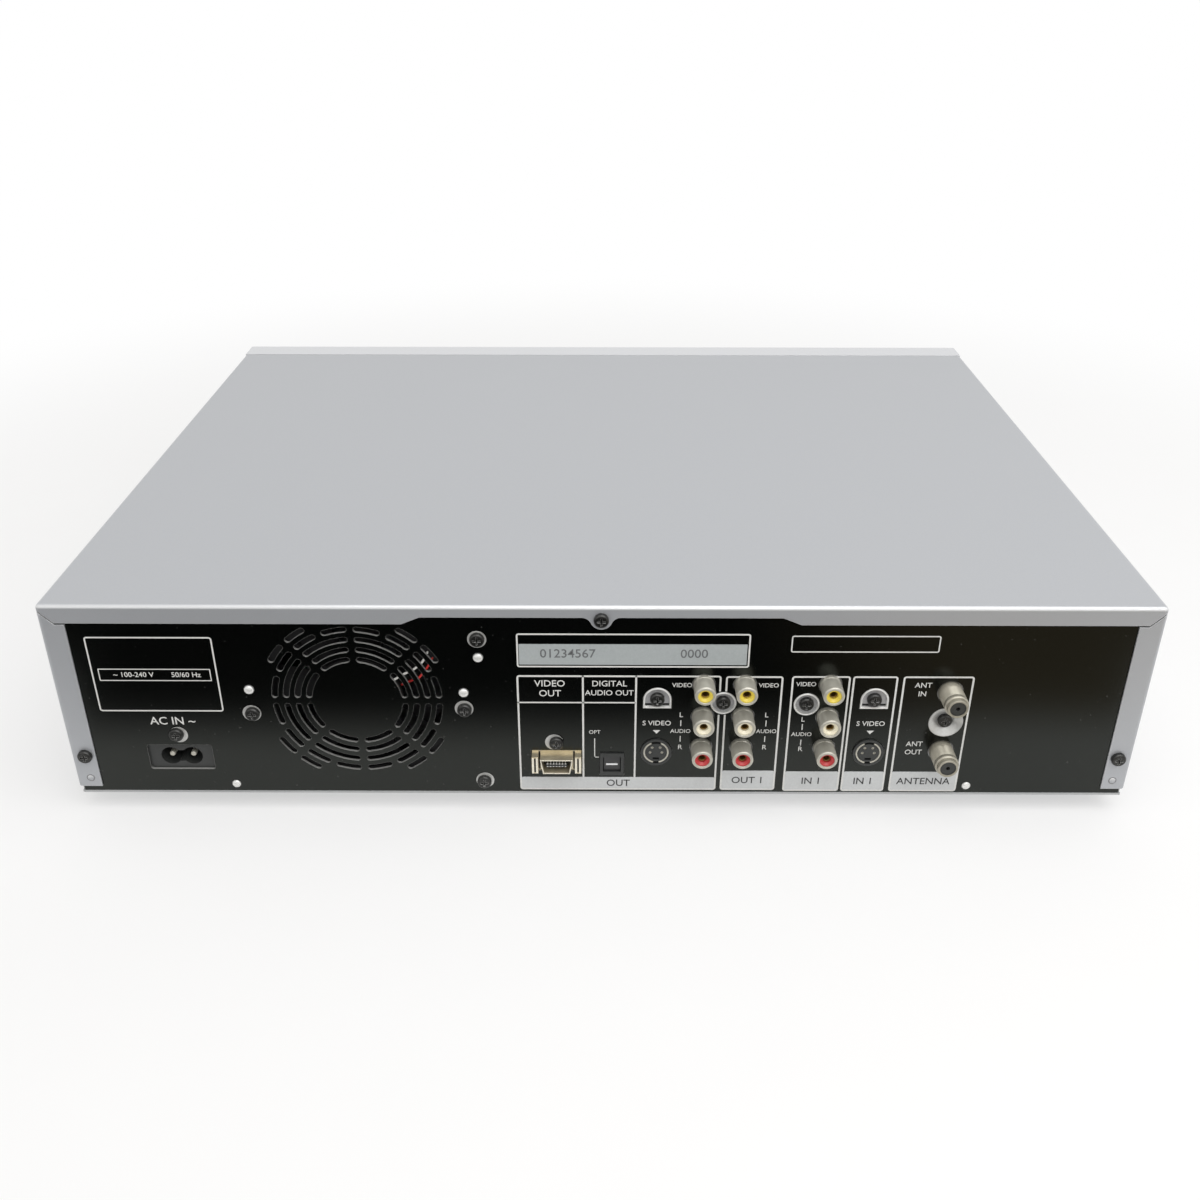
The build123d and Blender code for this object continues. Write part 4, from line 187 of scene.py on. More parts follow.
def moulded(name, first, second, roughness, texture=0.6):
    """Moulded plastic with a slight clouding and a fine surface texture."""
    finish = Finish(name, {})
    fine = grain(finish, texture, 3.0)
    clouds = grain(finish, 12.0)
    finish.shade({
        "Base Color": tint(finish, clouds, first, second),
        "Roughness": roughness + 0.12 * fine,
        "Normal": relief(finish, fine, 0.012),
    })
    return finish


dress(moulded("black_moulding", (0.010, 0.010, 0.011), (0.018, 0.018, 0.019), 0.38),
      "feet", "d_terminal_body", "rca_blocks", "loader_frame", "turntable")
charcoal = moulded("charcoal_moulding", (0.026, 0.028, 0.027), (0.038, 0.040, 0.039), 0.34)
dress(charcoal, "ac_inlet", "optical_jack", "s_video_out_socket", "s_video_in_socket",
      "antenna_insulators")
fan_black = moulded("fan_moulding", (0.003, 0.003, 0.0035), (0.006, 0.006, 0.0065), 0.6, 1.2)
dress(fan_black, "fan_frame", "fan_rotor")
dress(moulded("grey_moulding", (0.055, 0.056, 0.058), (0.085, 0.086, 0.088), 0.36),
      "disc_tray", "pickup_sled")
dress(moulded("natural_nylon", (0.70, 0.68, 0.62), (0.80, 0.79, 0.73), 0.38),
      "loading_gear", "supply_reel", "take_up_reel")


# Circuit boards and what stands on them: green solder resist over copper tracks, a ferrite
# transformer and sleeved capacitors. They are soldered and sit on the pan's standoffs.

TRACK_CELLS, TRACK_EDGE = 160.0, 0.1
board = Finish("solder_resist", {"Coat Weight": 0.3})
place = board.node("ShaderNodeTexCoord", output="Object")
cells = board.node("ShaderNodeMapping", {}, {"Vector": place, "Scale": (TRACK_CELLS,) * 3})
tracks = board.node("ShaderNodeTexVoronoi", {"feature": "DISTANCE_TO_EDGE"},
                    {"Vector": cells, "Scale": 1.0})
copper = tracks < TRACK_EDGE
board.shade({
    "Base Color": tint(board, copper, (0.012, 0.075, 0.028), (0.035, 0.15, 0.05)),
    "Roughness": 0.3 + 0.15 * grain(board, 1.5),
    "Normal": relief(board, copper, 0.03),
})
dress(board, "main_board", "power_board", "front_board")
dress(moulded("ferrite", (0.030, 0.030, 0.030), (0.055, 0.054, 0.052), 0.5), "transformer")
dress(moulded("sleeve", (0.010, 0.014, 0.040), (0.016, 0.022, 0.060), 0.3), "capacitors")


# Turned pieces of the tape path: the head drum, its base and the capstan are machined
# aluminium with fine lathe marks round the axis. They are pressed or screwed to the deck plate.

turned_metal = Finish("turned_metal", {"Metallic": 0.8})
lathe = grain(turned_metal, 0.5, 2.0, (0.05, 0.05, 1.0))
turned_metal.shade({
    "Base Color": tint(turned_metal, lathe, (0.46, 0.47, 0.48), (0.60, 0.61, 0.62)),
    "Roughness": 0.24 + 0.15 * lathe,
})
dress(turned_metal, "drum_base", "head_drum", "capstan")


# Brackets and earth plates: stampings of tinned steel. The brackets hold the fan and divide the
# casing, and the plates join the sockets' shells to the panel. They are screwed on through it.

def mottled(name, sockets, colours, roughness, spread, size, detail=3.0, depth=0.01, ease=0.15):
    """Finish whose colour, roughness and relief follow one mottle of a size in millimetres."""
    finish = Finish(name, sockets)
    mottle = grain(finish, size, detail)
    finish.shade({
        "Base Color": tint(finish, mottle, *colours),
        "Roughness": roughness + spread * mottle,
        "Normal": relief(finish, mottle, depth, ease),
    })
    return finish


def metal(name, first, second, metallic, roughness):
    """Sheet metal with a fine brushed mottle."""
    return mottled(name, {"Metallic": metallic}, (first, second), roughness, spread=0.2, size=0.9)


tinned_steel = metal("tinned_steel", (0.42, 0.42, 0.43), (0.58, 0.58, 0.59), 0.5, 0.3)
dress(tinned_steel, "rca_plates", "s_video_brackets", "antenna_module", "fan_bracket",
      "partition_bracket")


# Socket panel: a steel sheet in semi-gloss black paint, punched for the sockets and the grille.
# The punched edges show a lighter line, partly where the paint thins over the burr and partly
# a painted highlight; the up-facing walls of the cuts are painted lighter as a painted highlight.

FLANGE_SHEET = 0.7
COVER_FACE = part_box("top_cover")[1].y * 1000
COVER_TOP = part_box("top_cover")[1].z * 1000
PANEL_FACE = COVER_FACE - FLANGE_SHEET
WALL_TURN, DUST_LEVEL = 0.5, 0.775


def edge_mask(finish, radius, flat=0.97, turned=0.80):
    """1 along edges, within a radius in millimetres, and 0 on flat faces."""
    straight = finish.node("ShaderNodeNewGeometry", output="True Normal")
    kept = finish.node("ShaderNodeVectorMath", {"operation": "DOT_PRODUCT"},
                       {0: straight, 1: softened(finish, radius)}, output="Value")
    return finish.node("ShaderNodeMapRange", {}, {0: kept, 1: flat, 2: turned})


panel_paint = Finish("black_panel_paint", {"IOR": 1.47, "Specular Tint": (0.94, 1.0, 0.92, 1.0)})
# Lighter edges round the cuts: partly thin paint over the burr, partly a painted highlight.
burr_and_highlight = edge_mask(panel_paint, 0.3)
straight = panel_paint.node("ShaderNodeNewGeometry", output="True Normal")
outward = panel_paint.node("ShaderNodeSeparateXYZ", {}, {0: straight}, output="Y")
upward = panel_paint.node("ShaderNodeSeparateXYZ", {}, {0: straight}, output="Z")
cut_wall = outward * outward < WALL_TURN
# Up-facing walls of the cuts are painted lighter: a painted highlight, as if lit from above.
sill_highlight = cut_wall * upward.at_least(0.0)
dust = grain(panel_paint, 1.6, 1.0) > DUST_LEVEL
thin_paint_and_highlight = 0.75 * burr_and_highlight + 0.12 * cut_wall + 0.7 * sill_highlight + 0.1 * dust
panel_paint.shade({
    "Base Color": tint(panel_paint, thin_paint_and_highlight, (0.0016, 0.0018, 0.0016), (0.36, 0.36, 0.35)),
    "Roughness": 0.17 + 0.05 * grain(panel_paint, 25.0) + 0.12 * burr_and_highlight,
    "Normal": relief(panel_paint, grain(panel_paint, 0.9), 0.003, 0.3),
})
dress(panel_paint, "rear_panel")


# Print on the socket panel: screened white ink for the frames and plain function words, and
# silver ink for the bands, each a film on the black paint.

PRINT_FILM = 0.05
CREASE = 32
CAPITAL_SHARE, STROKE_SWELL = 0.7, 0.008


def put_in(name, data):
    """Object in the scene that shows the given data."""
    held = bpy.data.objects.new(name, data)
    bpy.context.scene.collection.objects.link(held)
    return held


def finished(name, bm, finish, body="casing"):
    """Turns mesh work in millimetres into a piece that rides on a body."""
    bmesh.ops.recalc_face_normals(bm, faces=bm.faces)
    bmesh.ops.scale(bm, vec=(0.001, 0.001, 0.001), verts=bm.verts)
    mesh = bpy.data.meshes.new(name)
    bm.to_mesh(mesh)
    bm.free()
    mesh.shade_smooth()
    mesh.set_sharp_from_angle(angle=math.radians(CREASE))
    mesh.materials.append(finish.material)
    piece = put_in(name, mesh)
    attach(piece, body)
    return piece


def rounded(x, z, corner, steps=5):
    """Outline of a rounded rectangle between limits on X and Z."""
    points = []
    corners = ((x[1], z[1], 0), (x[0], z[1], 1), (x[0], z[0], 2), (x[1], z[0], 3))
    for cx, cz, quarter in corners:
        inward = (-1 if quarter in (0, 3) else 1, -1 if quarter in (0, 1) else 1)
        for step in range(steps + 1):
            turn = math.radians(90 * (quarter + step / steps))
            points.append((cx + inward[0] * corner + corner * math.cos(turn),
                           cz + inward[1] * corner + corner * math.sin(turn)))
    return points


def walls(bm, low, high, closed=True):
    """Faces between two runs of points, closed into loops or open."""
    for a in range(len(low) if closed else len(low) - 1):
        b = (a + 1) % len(low)
        bm.faces.new((low[a], low[b], high[b], high[a]))


def film(bm, outline, inner=None, face=PANEL_FACE, height=PRINT_FILM):
    """Film of ink: a filled outline, or a line between an outline and an inner one."""
    loops = [[[bm.verts.new((x, y, z)) for x, z in loop] for y in (face, face + height)]
             for loop in (outline, inner) if loop]
    for low, high in loops:
        walls(bm, low, high)
    for level in (0, 1):
        if inner:
            walls(bm, loops[0][level], loops[1][level])
        else:
            bm.faces.new(loops[0][level])


def heights(drop):
    """Lower and upper limit on Z from two drops under the cover's top."""
    return [COVER_TOP - d for d in sorted(drop, reverse=True)]


def ruled(bm, x, drop, line, corner):
    """Ruled frame between limits on X and of drop under the cover's top."""
    z = heights(drop)
    inner_x = (min(x) + line, max(x) - line)
    inner_z = (z[0] + line, z[1] - line)
    film(bm, rounded((min(x), max(x)), z, corner),
         rounded(inner_x, inner_z, max(corner - line, line / 4)))


def broken(bm, x, drop, line, corner, side, gap):
    """Ruled frame whose left (1) or right (-1) line stops on both sides of a gap on Z."""
    z = heights(drop)
    middle, half = sum(x) / 2, abs(x[0] - x[1]) / 2
    runs = []
    for inset, bend in ((0, corner), (line, corner - line)):
        reach = half - inset
        loop = rounded((-reach, reach), (z[0] + inset, z[1] - inset), bend)
        run = [(reach, gap[1]), *loop, (reach, gap[0])]
        runs.append([[bm.verts.new((middle + side * across, y, rise)) for across, rise in run]
                     for y in (PANEL_FACE, PANEL_FACE + PRINT_FILM)])
    (outer_low, outer_high), (inner_low, inner_high) = runs
    for first, second in ((outer_low, outer_high), (inner_low, inner_high),
                          (outer_low, inner_low), (outer_high, inner_high)):
        walls(bm, first, second, closed=False)
    for end in (0, -1):
        bm.faces.new((outer_low[end], outer_high[end], inner_high[end], inner_low[end]))


def around(middle, half):
    """Limits at the same distance on both sides of a middle."""
    return (middle - half, middle + half)


def filled(bm, x, drop, corner=0.2):
    """Filled bar between limits on X and of drop under the cover's top."""
    film(bm, rounded((min(x), max(x)), heights(drop), corner, 3))


def meshed(bm, curve, place=Matrix()):
    """Adds a curve's mesh to mesh work, at a place, and drops the curve."""
    held = bpy.data.objects.new(curve.name, curve)
    mesh = bpy.data.meshes.new_from_object(held)
    mesh.transform(place)
    bm.from_mesh(mesh)
    bpy.data.meshes.remove(mesh)
    bpy.data.objects.remove(held)
    bpy.data.curves.remove(curve)


def words(bm, text, x, z, height, face=PANEL_FACE, behind=1):
    """Printed capitals round the given place, read from behind (1) or from the front (-1)."""
    curve = bpy.data.curves.new("words", "FONT")
    curve.body = text
    curve.size = height / CAPITAL_SHARE
    curve.align_x = "CENTER"
    curve.align_y = "CENTER"
    curve.extrude = PRINT_FILM / 2
    curve.offset = STROKE_SWELL * height
    curve.resolution_u = 3
    middle = face + behind * PRINT_FILM / 2
    place = Matrix(((-behind, 0, 0, x), (0, 0, behind, middle), (0, 1, 0, z), (0, 0, 0, 1)))
    meshed(bm, curve, place)


def inked(name, first, second, roughness):
    """Screen ink with a slightly uneven film."""
    return mottled(name, {}, (first, second), roughness, spread=0.15, size=0.7)


white_ink = inked("white_ink", (0.60, 0.60, 0.58), (0.76, 0.76, 0.74), 0.4)
silver_ink = inked("silver_ink", (0.50, 0.515, 0.52), (0.62, 0.635, 0.64), 0.34)
dark_ink = inked("dark_ink", (0.02, 0.02, 0.022), (0.04, 0.04, 0.042), 0.45)
faded_ink = inked("faded_ink", (0.10, 0.105, 0.11), (0.17, 0.175, 0.18), 0.5)
plate_silver = inked("plate_silver", (0.33, 0.36, 0.365), (0.42, 0.45, 0.455), 0.34)

# Limits on X, drops of the top and the foot, line and corner of each plate's frame.
PLATE_FRAMES = (((150.0, 199.3), (14.2, 48.5), 0.6, 1.2), ((152.6, 196.6), (28.6, 34.2), 0.4, 0.3),
                ((32.8, -57.5), (12.2, 27.4), 0.65, 1.0), ((-73.2, -130.5), (12.9, 20.4), 0.5, 0.9))
LINE, FRAME_CORNER, FINE_CORNER = 0.75, 1.2, 0.05
# Left and right limit, drop of the top, the foot and the band's upper edge of each socket frame.
SOCKET_FRAMES = ((33.2, -47.1, 31.1, 86.6, 80.2), (-48.8, -71.3, 31.3, 86.6, 76.8),
                 (-74.6, -97.6, 31.2, 87.0, 77.1), (-98.5, -116.2, 31.2, 87.0, 77.1),
                 (-118.2, -146.0, 31.2, 87.0, 77.1))
WINDOW_GAP = (47.6, 58.6)
DIVIDERS, HEAD_RULE = (7.2, -13.7), (43.5, 44.1)
# Word, place on X, drop of its middle and height of its letters.
PANEL_WORDS = (
    ("VIDEO", 20.2, 35.0, 2.9), ("OUT", 20.2, 39.6, 2.9), ("DIGITAL", -3.2, 35.0, 2.6),
    ("AUDIO OUT", -3.2, 39.3, 2.4), ("OPT", 2.6, 58.0, 1.7), ("S VIDEO", -22.2, 53.6, 2.2),
    ("VIDEO", -31.8, 35.6, 1.9), ("L", -31.8, 49.6, 2.2), ("AUDIO", -31.8, 57.4, 1.8),
    ("R", -31.8, 65.2, 2.2), ("VIDEO", -65.8, 35.6, 1.9), ("L", -65.8, 49.6, 2.2),
    ("AUDIO", -66.2, 57.4, 1.8), ("R", -65.8, 65.2, 2.2), ("VIDEO", -80.4, 35.0, 1.9),
    ("L", -80.4, 51.6, 2.2), ("AUDIO", -80.4, 58.8, 1.8), ("R", -80.4, 66.0, 2.2),
    ("S VIDEO", -107.6, 53.6, 2.2), ("ANT", -126.4, 35.4, 2.3), ("IN", -126.4, 39.4, 2.3),
    ("ANT", -126.2, 63.4, 2.3), ("OUT", -126.2, 67.4, 2.3), ("AC IN ~", 171.2, 53.2, 3.6),
    ("~ 100-240 V", 183.0, 31.4, 2.2), ("50/60 Hz", 162.4, 31.4, 2.2))
ARROWS, ARROW_DROP, ARROW_HALF, ARROW_HEIGHT = (-22.2, -107.8), 58.6, 1.5, 1.7
# Place on X of the ticks between channel letters, and drop of the first.
TICKS = ((-31.8, 53.5), (-65.8, 53.5), (-80.4, 55.2))
TICK_STEP, TICK_HALF, TICK_REACH = 7.6, 0.2, 1.4
OPT_LEADER = (((2.4, 2.8), (61.0, 70.4)), ((0.9, 2.8), (70.0, 70.4)))

print_work = bmesh.new()
for x, drop, line, corner in PLATE_FRAMES:
    ruled(print_work, x, drop, line, corner)
for turn, (left, right, top, foot, band) in enumerate(SOCKET_FRAMES):
    if turn < 2:
        broken(print_work, (left, right), (top, foot), LINE, FRAME_CORNER, 2 * turn - 1, WINDOW_GAP)
    else:
        ruled(print_work, (left, right), (top, foot), LINE, FRAME_CORNER)
left, right, top, foot, band = SOCKET_FRAMES[0]
for divider in DIVIDERS:
    filled(print_work, around(divider, LINE / 2), (top, band))
filled(print_work, (left, DIVIDERS[1]), HEAD_RULE)
for text, x, drop, height in PANEL_WORDS:
    words(print_work, text, x, COVER_TOP - drop, height)
tip = COVER_TOP - ARROW_DROP
for x in ARROWS:
    film(print_work, [(x - ARROW_HALF, tip + ARROW_HEIGHT), (x, tip),
                      (x + ARROW_HALF, tip + ARROW_HEIGHT)])
for x, first in TICKS:
    for drop in (first, first + TICK_STEP):
        filled(print_work, around(x, TICK_HALF), around(drop, TICK_REACH), FINE_CORNER)
for x, drop in OPT_LEADER:
    filled(print_work, x, drop, FINE_CORNER)
finished("panel_print", print_work, white_ink)

PLATE_X, PLATE_DROP = (31.9, -56.4), (16.9, 26.2)
plate_work = bmesh.new()
filled(plate_work, PLATE_X, PLATE_DROP)
finished("number_plate", plate_work, plate_silver)

BAND_CORNER, BAND_LETTER = 0.5, 3.2
band_work = bmesh.new()
for left, right, top, foot, band in SOCKET_FRAMES:
    filled(band_work, (left - LINE, right + LINE), (band, foot - LINE), BAND_CORNER)
finished("silver_bands", band_work, silver_ink)

legend_work = bmesh.new()
for text, x, drop in (("OUT", -7.0, 83.3), ("OUT 1", -60.0, 81.7), ("IN 1", -86.1, 82.0),
                      ("IN 1", -107.4, 82.0), ("ANTENNA", -132.1, 82.0)):
    words(legend_work, text, x, COVER_TOP - drop, BAND_LETTER, PANEL_FACE + PRINT_FILM)
finished("band_words", legend_work, dark_ink)

NUMBER_DROP, NUMBER_LETTER = 21.3, 3.8
number_work = bmesh.new()
for text, x in (("01234567", 13.0), ("0000", -36.0)):
    words(number_work, text, x, COVER_TOP - NUMBER_DROP, NUMBER_LETTER, PANEL_FACE + PRINT_FILM)
finished("plate_numbers", number_work, faded_ink)


# Screws and the bare seats round them: black pan-head screws with a cross recess.
# The paint is masked off round each panel screw, so its seat is a ring of bare metal.

screw_black = Finish("screw_black", {"Metallic": 0.85})
worn = grain(screw_black, 0.8, 3.0)
# Light screw-head edges: partly rubbed metal, partly a painted highlight.
rubbed_and_highlight = 0.12 * worn + 0.8 * edge_mask(screw_black, 0.25)
screw_black.shade({
    "Base Color": tint(screw_black, rubbed_and_highlight, (0.018, 0.018, 0.017), (0.62, 0.62, 0.60)),
    "Roughness": 0.22 + 0.2 * worn,
    "Normal": softened(screw_black, 0.2),
})
dress(screw_black, "screws")
pressed_steel = metal("pressed_steel", (0.50, 0.50, 0.485), (0.66, 0.66, 0.64), 0.4, 0.25)

SEAT_RADIUS, SEAT_BORE = 3.7, 1.7
# Place of each panel screw on X and Z, and how far its seat lies off the screw.
PANEL_SCREWS = ((170.6, 37.7, -0.7, -0.4), (18.0, 34.0, 0.9, 0.1), (138.6, 47.9, 0.4, -0.1),
                (54.2, 49.9, 0.2, 0.3), (47.8, 14.8, -0.3, 0.3), (47.8, 82.3, 0.1, -0.2))


def disc(x, z, radius, steps=36):
    """Outline of a circle."""
    turns = [2 * math.pi * step / steps for step in range(steps)]
    return [(x + radius * math.cos(turn), z + radius * math.sin(turn)) for turn in turns]


seat_work = bmesh.new()
for x, z, across, rise in PANEL_SCREWS:
    film(seat_work, disc(x + across, z + rise, SEAT_RADIUS), disc(x, z, SEAT_BORE))
finished("screw_seats", seat_work, pressed_steel)


# Pin ends and rivets: domed ends of the brackets' locating pins and of the pan's rivets, in
# bright zinc, pressed over on the panel's outside.

def lathed(bm, profile, x, z, steps=40):
    """Turned piece along Y: a closed profile of radius and Y, taken round the middle."""
    turns = [2 * math.pi * step / steps for step in range(steps)]
    rings = [[bm.verts.new((x + r * math.cos(t), y, z + r * math.sin(t))) for t in turns]
             for r, y in profile]
    for ring in range(len(rings)):
        walls(bm, rings[ring - 1], rings[ring])


def dome(bm, x, z, radius, base, height, steps=6, pip=0.05):
    """Domed end on a face, with a pip at its middle."""
    turns = [math.radians(90 * step / steps) for step in range(steps)]
    profile = [(radius * math.cos(turn), base + height * math.sin(turn)) for turn in turns]
    lathed(bm, [*profile, (pip, base + height), (pip, base)], x, z, 28)


bright_steel = metal("bright_steel", (0.74, 0.74, 0.72), (0.88, 0.88, 0.86), 0.35, 0.22)
PIN_ENDS = ((138.6, 59.0), (54.2, 57.8), (47.8, 74.0))
PIN_RADIUS, PIN_PROUD, PIN_DOME = 1.9, 0.4, 0.9
RIVETS = ((150.0, 12.9), (-150.0, 12.9))
RIVET_RADIUS, RIVET_DOME = 1.75, 0.9
dome_work = bmesh.new()
for x, z in PIN_ENDS:
    dome(dome_work, x, z, PIN_RADIUS, PANEL_FACE + PIN_PROUD, PIN_DOME)
for x, z in RIVETS:
    dome(dome_work, x, z, RIVET_RADIUS, PANEL_FACE, RIVET_DOME)
finished("pin_domes", dome_work, bright_steel)


# Window rims: the panel is flanged round the openings over the earth plates, and the flange is
# bare and bright. A black film along the foot of each half-moon opening is painted shadow.

ROUND_WINDOWS = ((-48.35, 53.1), (-81.3, 52.6))
ROUND_RADIUS = 5.15
HALF_MOONS = ((-22.2, 54.6), (-108.0, 54.6))
MOON_RADIUS, MOON_FOOT, MOON_STEPS = 5.6, 3.95, 20
RIM, RIM_CREST = 0.8, 0.35
SHADOW_STRIP_HEIGHT, SHADOW_STRIP_CORNER = 0.9, 0.2
PANEL_SHEET = 1.0
INNER_FACE = PANEL_FACE - PANEL_SHEET


def half_moon(x, z, inset):
    """Outline of a half-moon window, drawn in by a rim."""
    radius = MOON_RADIUS - inset
    bow = [(x + radius * math.cos(turn), z + radius * math.sin(turn))
           for turn in (math.pi * step / MOON_STEPS for step in range(MOON_STEPS + 1))]
    foot = z - MOON_FOOT + inset
    return bow + [(x - radius, foot), (x + radius, foot)]


def round_window(x, z, inset):
    """Outline of a round window, drawn in by a rim."""
    return disc(x, z, ROUND_RADIUS - inset)


def beaded(bm, outline, width, base, face, crest):
    """Closed rim along an outline that can be drawn in, with a rounded crest over a face."""
    section = ((0, base), (0, face), (0.15, face + 0.7 * crest), (0.5, face + crest),
               (0.85, face + 0.7 * crest), (1, face), (1, base))
    rings = [[bm.verts.new((x, y, z)) for x, z in outline(share * width)] for share, y in section]
    for ring in range(len(rings)):
        walls(bm, rings[ring - 1], rings[ring])


rim_work = bmesh.new()
for window, places in ((round_window, ROUND_WINDOWS), (half_moon, HALF_MOONS)):
    for x, z in places:
        beaded(rim_work, lambda inset: window(x, z, inset), RIM, INNER_FACE, PANEL_FACE, RIM_CREST)
finished("window_rims", rim_work, bright_steel)

# Black film at the foot of each half-moon opening: painted shadow.
shadow_strip_work = bmesh.new()
for x, z in HALF_MOONS:
    low = z - MOON_FOOT + RIM
    strip = rounded(around(x, MOON_RADIUS - RIM), (low, low + SHADOW_STRIP_HEIGHT), SHADOW_STRIP_CORNER, 3)
    film(shadow_strip_work, strip, None, INNER_FACE)
finished("foot_shadow_strips", shadow_strip_work, fan_black)


# Antenna dish: a bright cup pressed into the panel between the two antenna barrels, with a
# rolled lip and the tuner's screw at its bottom.

ANTENNA_X, DISH_Z = -137.4, 44.3
DISH_RIM, DISH_FLOOR, DISH_DEPTH = 6.85, 3.2, 0.98
# Distance in from the rim and height over the panel of the lip's points.
DISH_LIP = ((0, 0.15), (0.25, 0.35), (0.6, 0.2))
dish = [(DISH_RIM, INNER_FACE)]
dish += [(DISH_RIM - inset, PANEL_FACE + rise) for inset, rise in DISH_LIP]
dish += [(DISH_FLOOR + 0.3, INNER_FACE - 0.75), (DISH_FLOOR, INNER_FACE - DISH_DEPTH),
         (DISH_FLOOR + 0.5, INNER_FACE - DISH_DEPTH)]
dish_work = bmesh.new()
lathed(dish_work, dish, ANTENNA_X, DISH_Z)
finished("antenna_dish", dish_work, pressed_steel)


# Phono barrels: turned sleeves of nickel on brass, satin and a little yellowed, with a groove
# near the panel and a rolled mouth. They are staked into the socket blocks. The mains pins and
# the front jacks have the same plating.

def plated(name, *colours):
    """Nickel on brass, clouded by handling."""
    return mottled(name, {"Metallic": 0.42}, colours, 0.26, spread=0.16, size=3.0, detail=4.0)


nickel = plated("satin_nickel", (0.46, 0.445, 0.38), (0.62, 0.60, 0.53))
dress(nickel, "ac_inlet_pins", "front_jacks")


def arc(r, y, radius, first, last, steps=5):
    """Points of a rounding about a middle, between two angles from the radial direction."""
    angles = [math.radians(first + (last - first) * step / steps) for step in range(steps + 1)]
    return [(r + radius * math.cos(angle), y + radius * math.sin(angle)) for angle in angles]


JACKS = [(column, row) for column in (-40.3, -56.4, -89.9) for row in (31.7, 46.8, 61.9)]
JACK_SEAT, JACK_MOUTH = (corner.y * 1000 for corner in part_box("rca_shells"))
JACK_RADIUS, JACK_BORE, JACK_LIP = 4.2, 3.45, 2.95
MOUTH_ROUND, LIP_ROUND, LIP_DEPTH = 0.75, 0.3, 0.57
# Depth and distance from the panel of the groove's points.
JACK_GROOVE = ((0, 1.4), (0.12, 1.55), (0.12, 1.9), (0, 2.05))
barrel = [(JACK_BORE, JACK_SEAT), (JACK_RADIUS, JACK_SEAT)]
barrel += [(JACK_RADIUS - depth, PANEL_FACE + away) for depth, away in JACK_GROOVE]
barrel += arc(JACK_RADIUS - MOUTH_ROUND, JACK_MOUTH - MOUTH_ROUND, MOUTH_ROUND, 0, 90)
barrel += arc(JACK_LIP + LIP_ROUND, JACK_MOUTH - LIP_ROUND, LIP_ROUND, 90, 180, 3)
barrel += [(JACK_LIP, JACK_MOUTH - LIP_DEPTH), (JACK_BORE, JACK_MOUTH - LIP_DEPTH)]
barrel_work = bmesh.new()
for column, row in JACKS:
    lathed(barrel_work, barrel, column, row)
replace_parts(finished("phono_barrels", barrel_work, nickel), "rca_shells")


# Antenna barrels: threaded sleeves in a duller nickel, screwed into the tuner's module, with a
# stepped nose and a charcoal collar round the insulator in its mouth.

ANTENNA_ROWS = (30.2, 58.4)
ANTENNA_SEAT, ANTENNA_END = (corner.y * 1000 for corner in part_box("antenna_barrels"))
ANTENNA_RADIUS, NOSE_RADIUS, ANTENNA_BORE, NOSE_BORE = 4.7, 4.0, 2.9, 3.15
THREAD_PITCH, THREAD_DEPTH, THREAD_TURNS = 0.8, 0.25, 8
PLAIN_LENGTH, THREAD_START = 2.0, 2.4
NOSE_LENGTH, NOSE_GROOVE, NOSE_ROUND, SHOULDER_EASE = 1.8, 0.25, 0.3, 0.5
COLLAR_SEAT, COLLAR_FACE = ANTENNA_END - 0.9, ANTENNA_END - 0.3
dull_nickel = plated("dull_nickel", (0.34, 0.32, 0.26), (0.45, 0.425, 0.35))

shoulder = ANTENNA_END - NOSE_LENGTH
aerial = [(ANTENNA_BORE, ANTENNA_SEAT), (ANTENNA_RADIUS, ANTENNA_SEAT),
          (ANTENNA_RADIUS, PANEL_FACE + PLAIN_LENGTH)]
for turn in range(THREAD_TURNS):
    start = PANEL_FACE + THREAD_START + turn * THREAD_PITCH
    aerial += [(ANTENNA_RADIUS - THREAD_DEPTH, start), (ANTENNA_RADIUS, start + THREAD_PITCH / 2)]
aerial += [(ANTENNA_RADIUS, shoulder - SHOULDER_EASE),
           (ANTENNA_RADIUS - SHOULDER_EASE, shoulder), (NOSE_RADIUS - NOSE_GROOVE, shoulder),
           (NOSE_RADIUS - NOSE_GROOVE, shoulder + 0.35), (NOSE_RADIUS, shoulder + 0.5)]
aerial += arc(NOSE_RADIUS - NOSE_ROUND, ANTENNA_END - NOSE_ROUND, NOSE_ROUND, 0, 90)
aerial += [(NOSE_BORE, ANTENNA_END - 0.15), (NOSE_BORE, COLLAR_SEAT), (ANTENNA_BORE, COLLAR_SEAT)]
collar = [(ANTENNA_BORE, COLLAR_SEAT), (NOSE_BORE, COLLAR_SEAT), (NOSE_BORE, ANTENNA_END - 0.4),
          (NOSE_BORE - 0.15, COLLAR_FACE), (ANTENNA_BORE, COLLAR_FACE)]
thread_work = bmesh.new()
collar_work = bmesh.new()
for row in ANTENNA_ROWS:
    lathed(thread_work, aerial, ANTENNA_X, row)
    lathed(collar_work, collar, ANTENNA_X, row)
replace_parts(finished("antenna_threads", thread_work, dull_nickel), "antenna_barrels")
finished("antenna_collars", collar_work, charcoal)


# S-video contacts and shields: four rolled tubes in each socket, and a split ring of nickel-plated
# sheet round them. Both are pushed into the moulded body from behind.

S_COLUMNS, S_ROW = (-22.2, -108.0), 29.6
S_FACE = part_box("s_video_in_socket")[1].y * 1000
S_CONTACTS = ((-2.4, 0.0), (2.4, 0.0), (-1.6, 2.4), (1.6, 2.4))
TUBE_RADIUS, TUBE_BORE, TUBE_LENGTH = 0.62, 0.28, 3.9
TUBE_END, TUBE_TIP = S_FACE - 0.25, S_FACE - 0.12
tube = [(TUBE_BORE, S_FACE - TUBE_LENGTH), (TUBE_RADIUS, S_FACE - TUBE_LENGTH),
        (TUBE_RADIUS, TUBE_END), (0.5, TUBE_TIP), (0.36, TUBE_TIP), (TUBE_BORE, TUBE_END)]
contact_work = bmesh.new()
for column in S_COLUMNS:
    for across, rise in S_CONTACTS:
        lathed(contact_work, tube, column + across, S_ROW + rise, 16)
finished("s_video_contacts", contact_work, nickel)


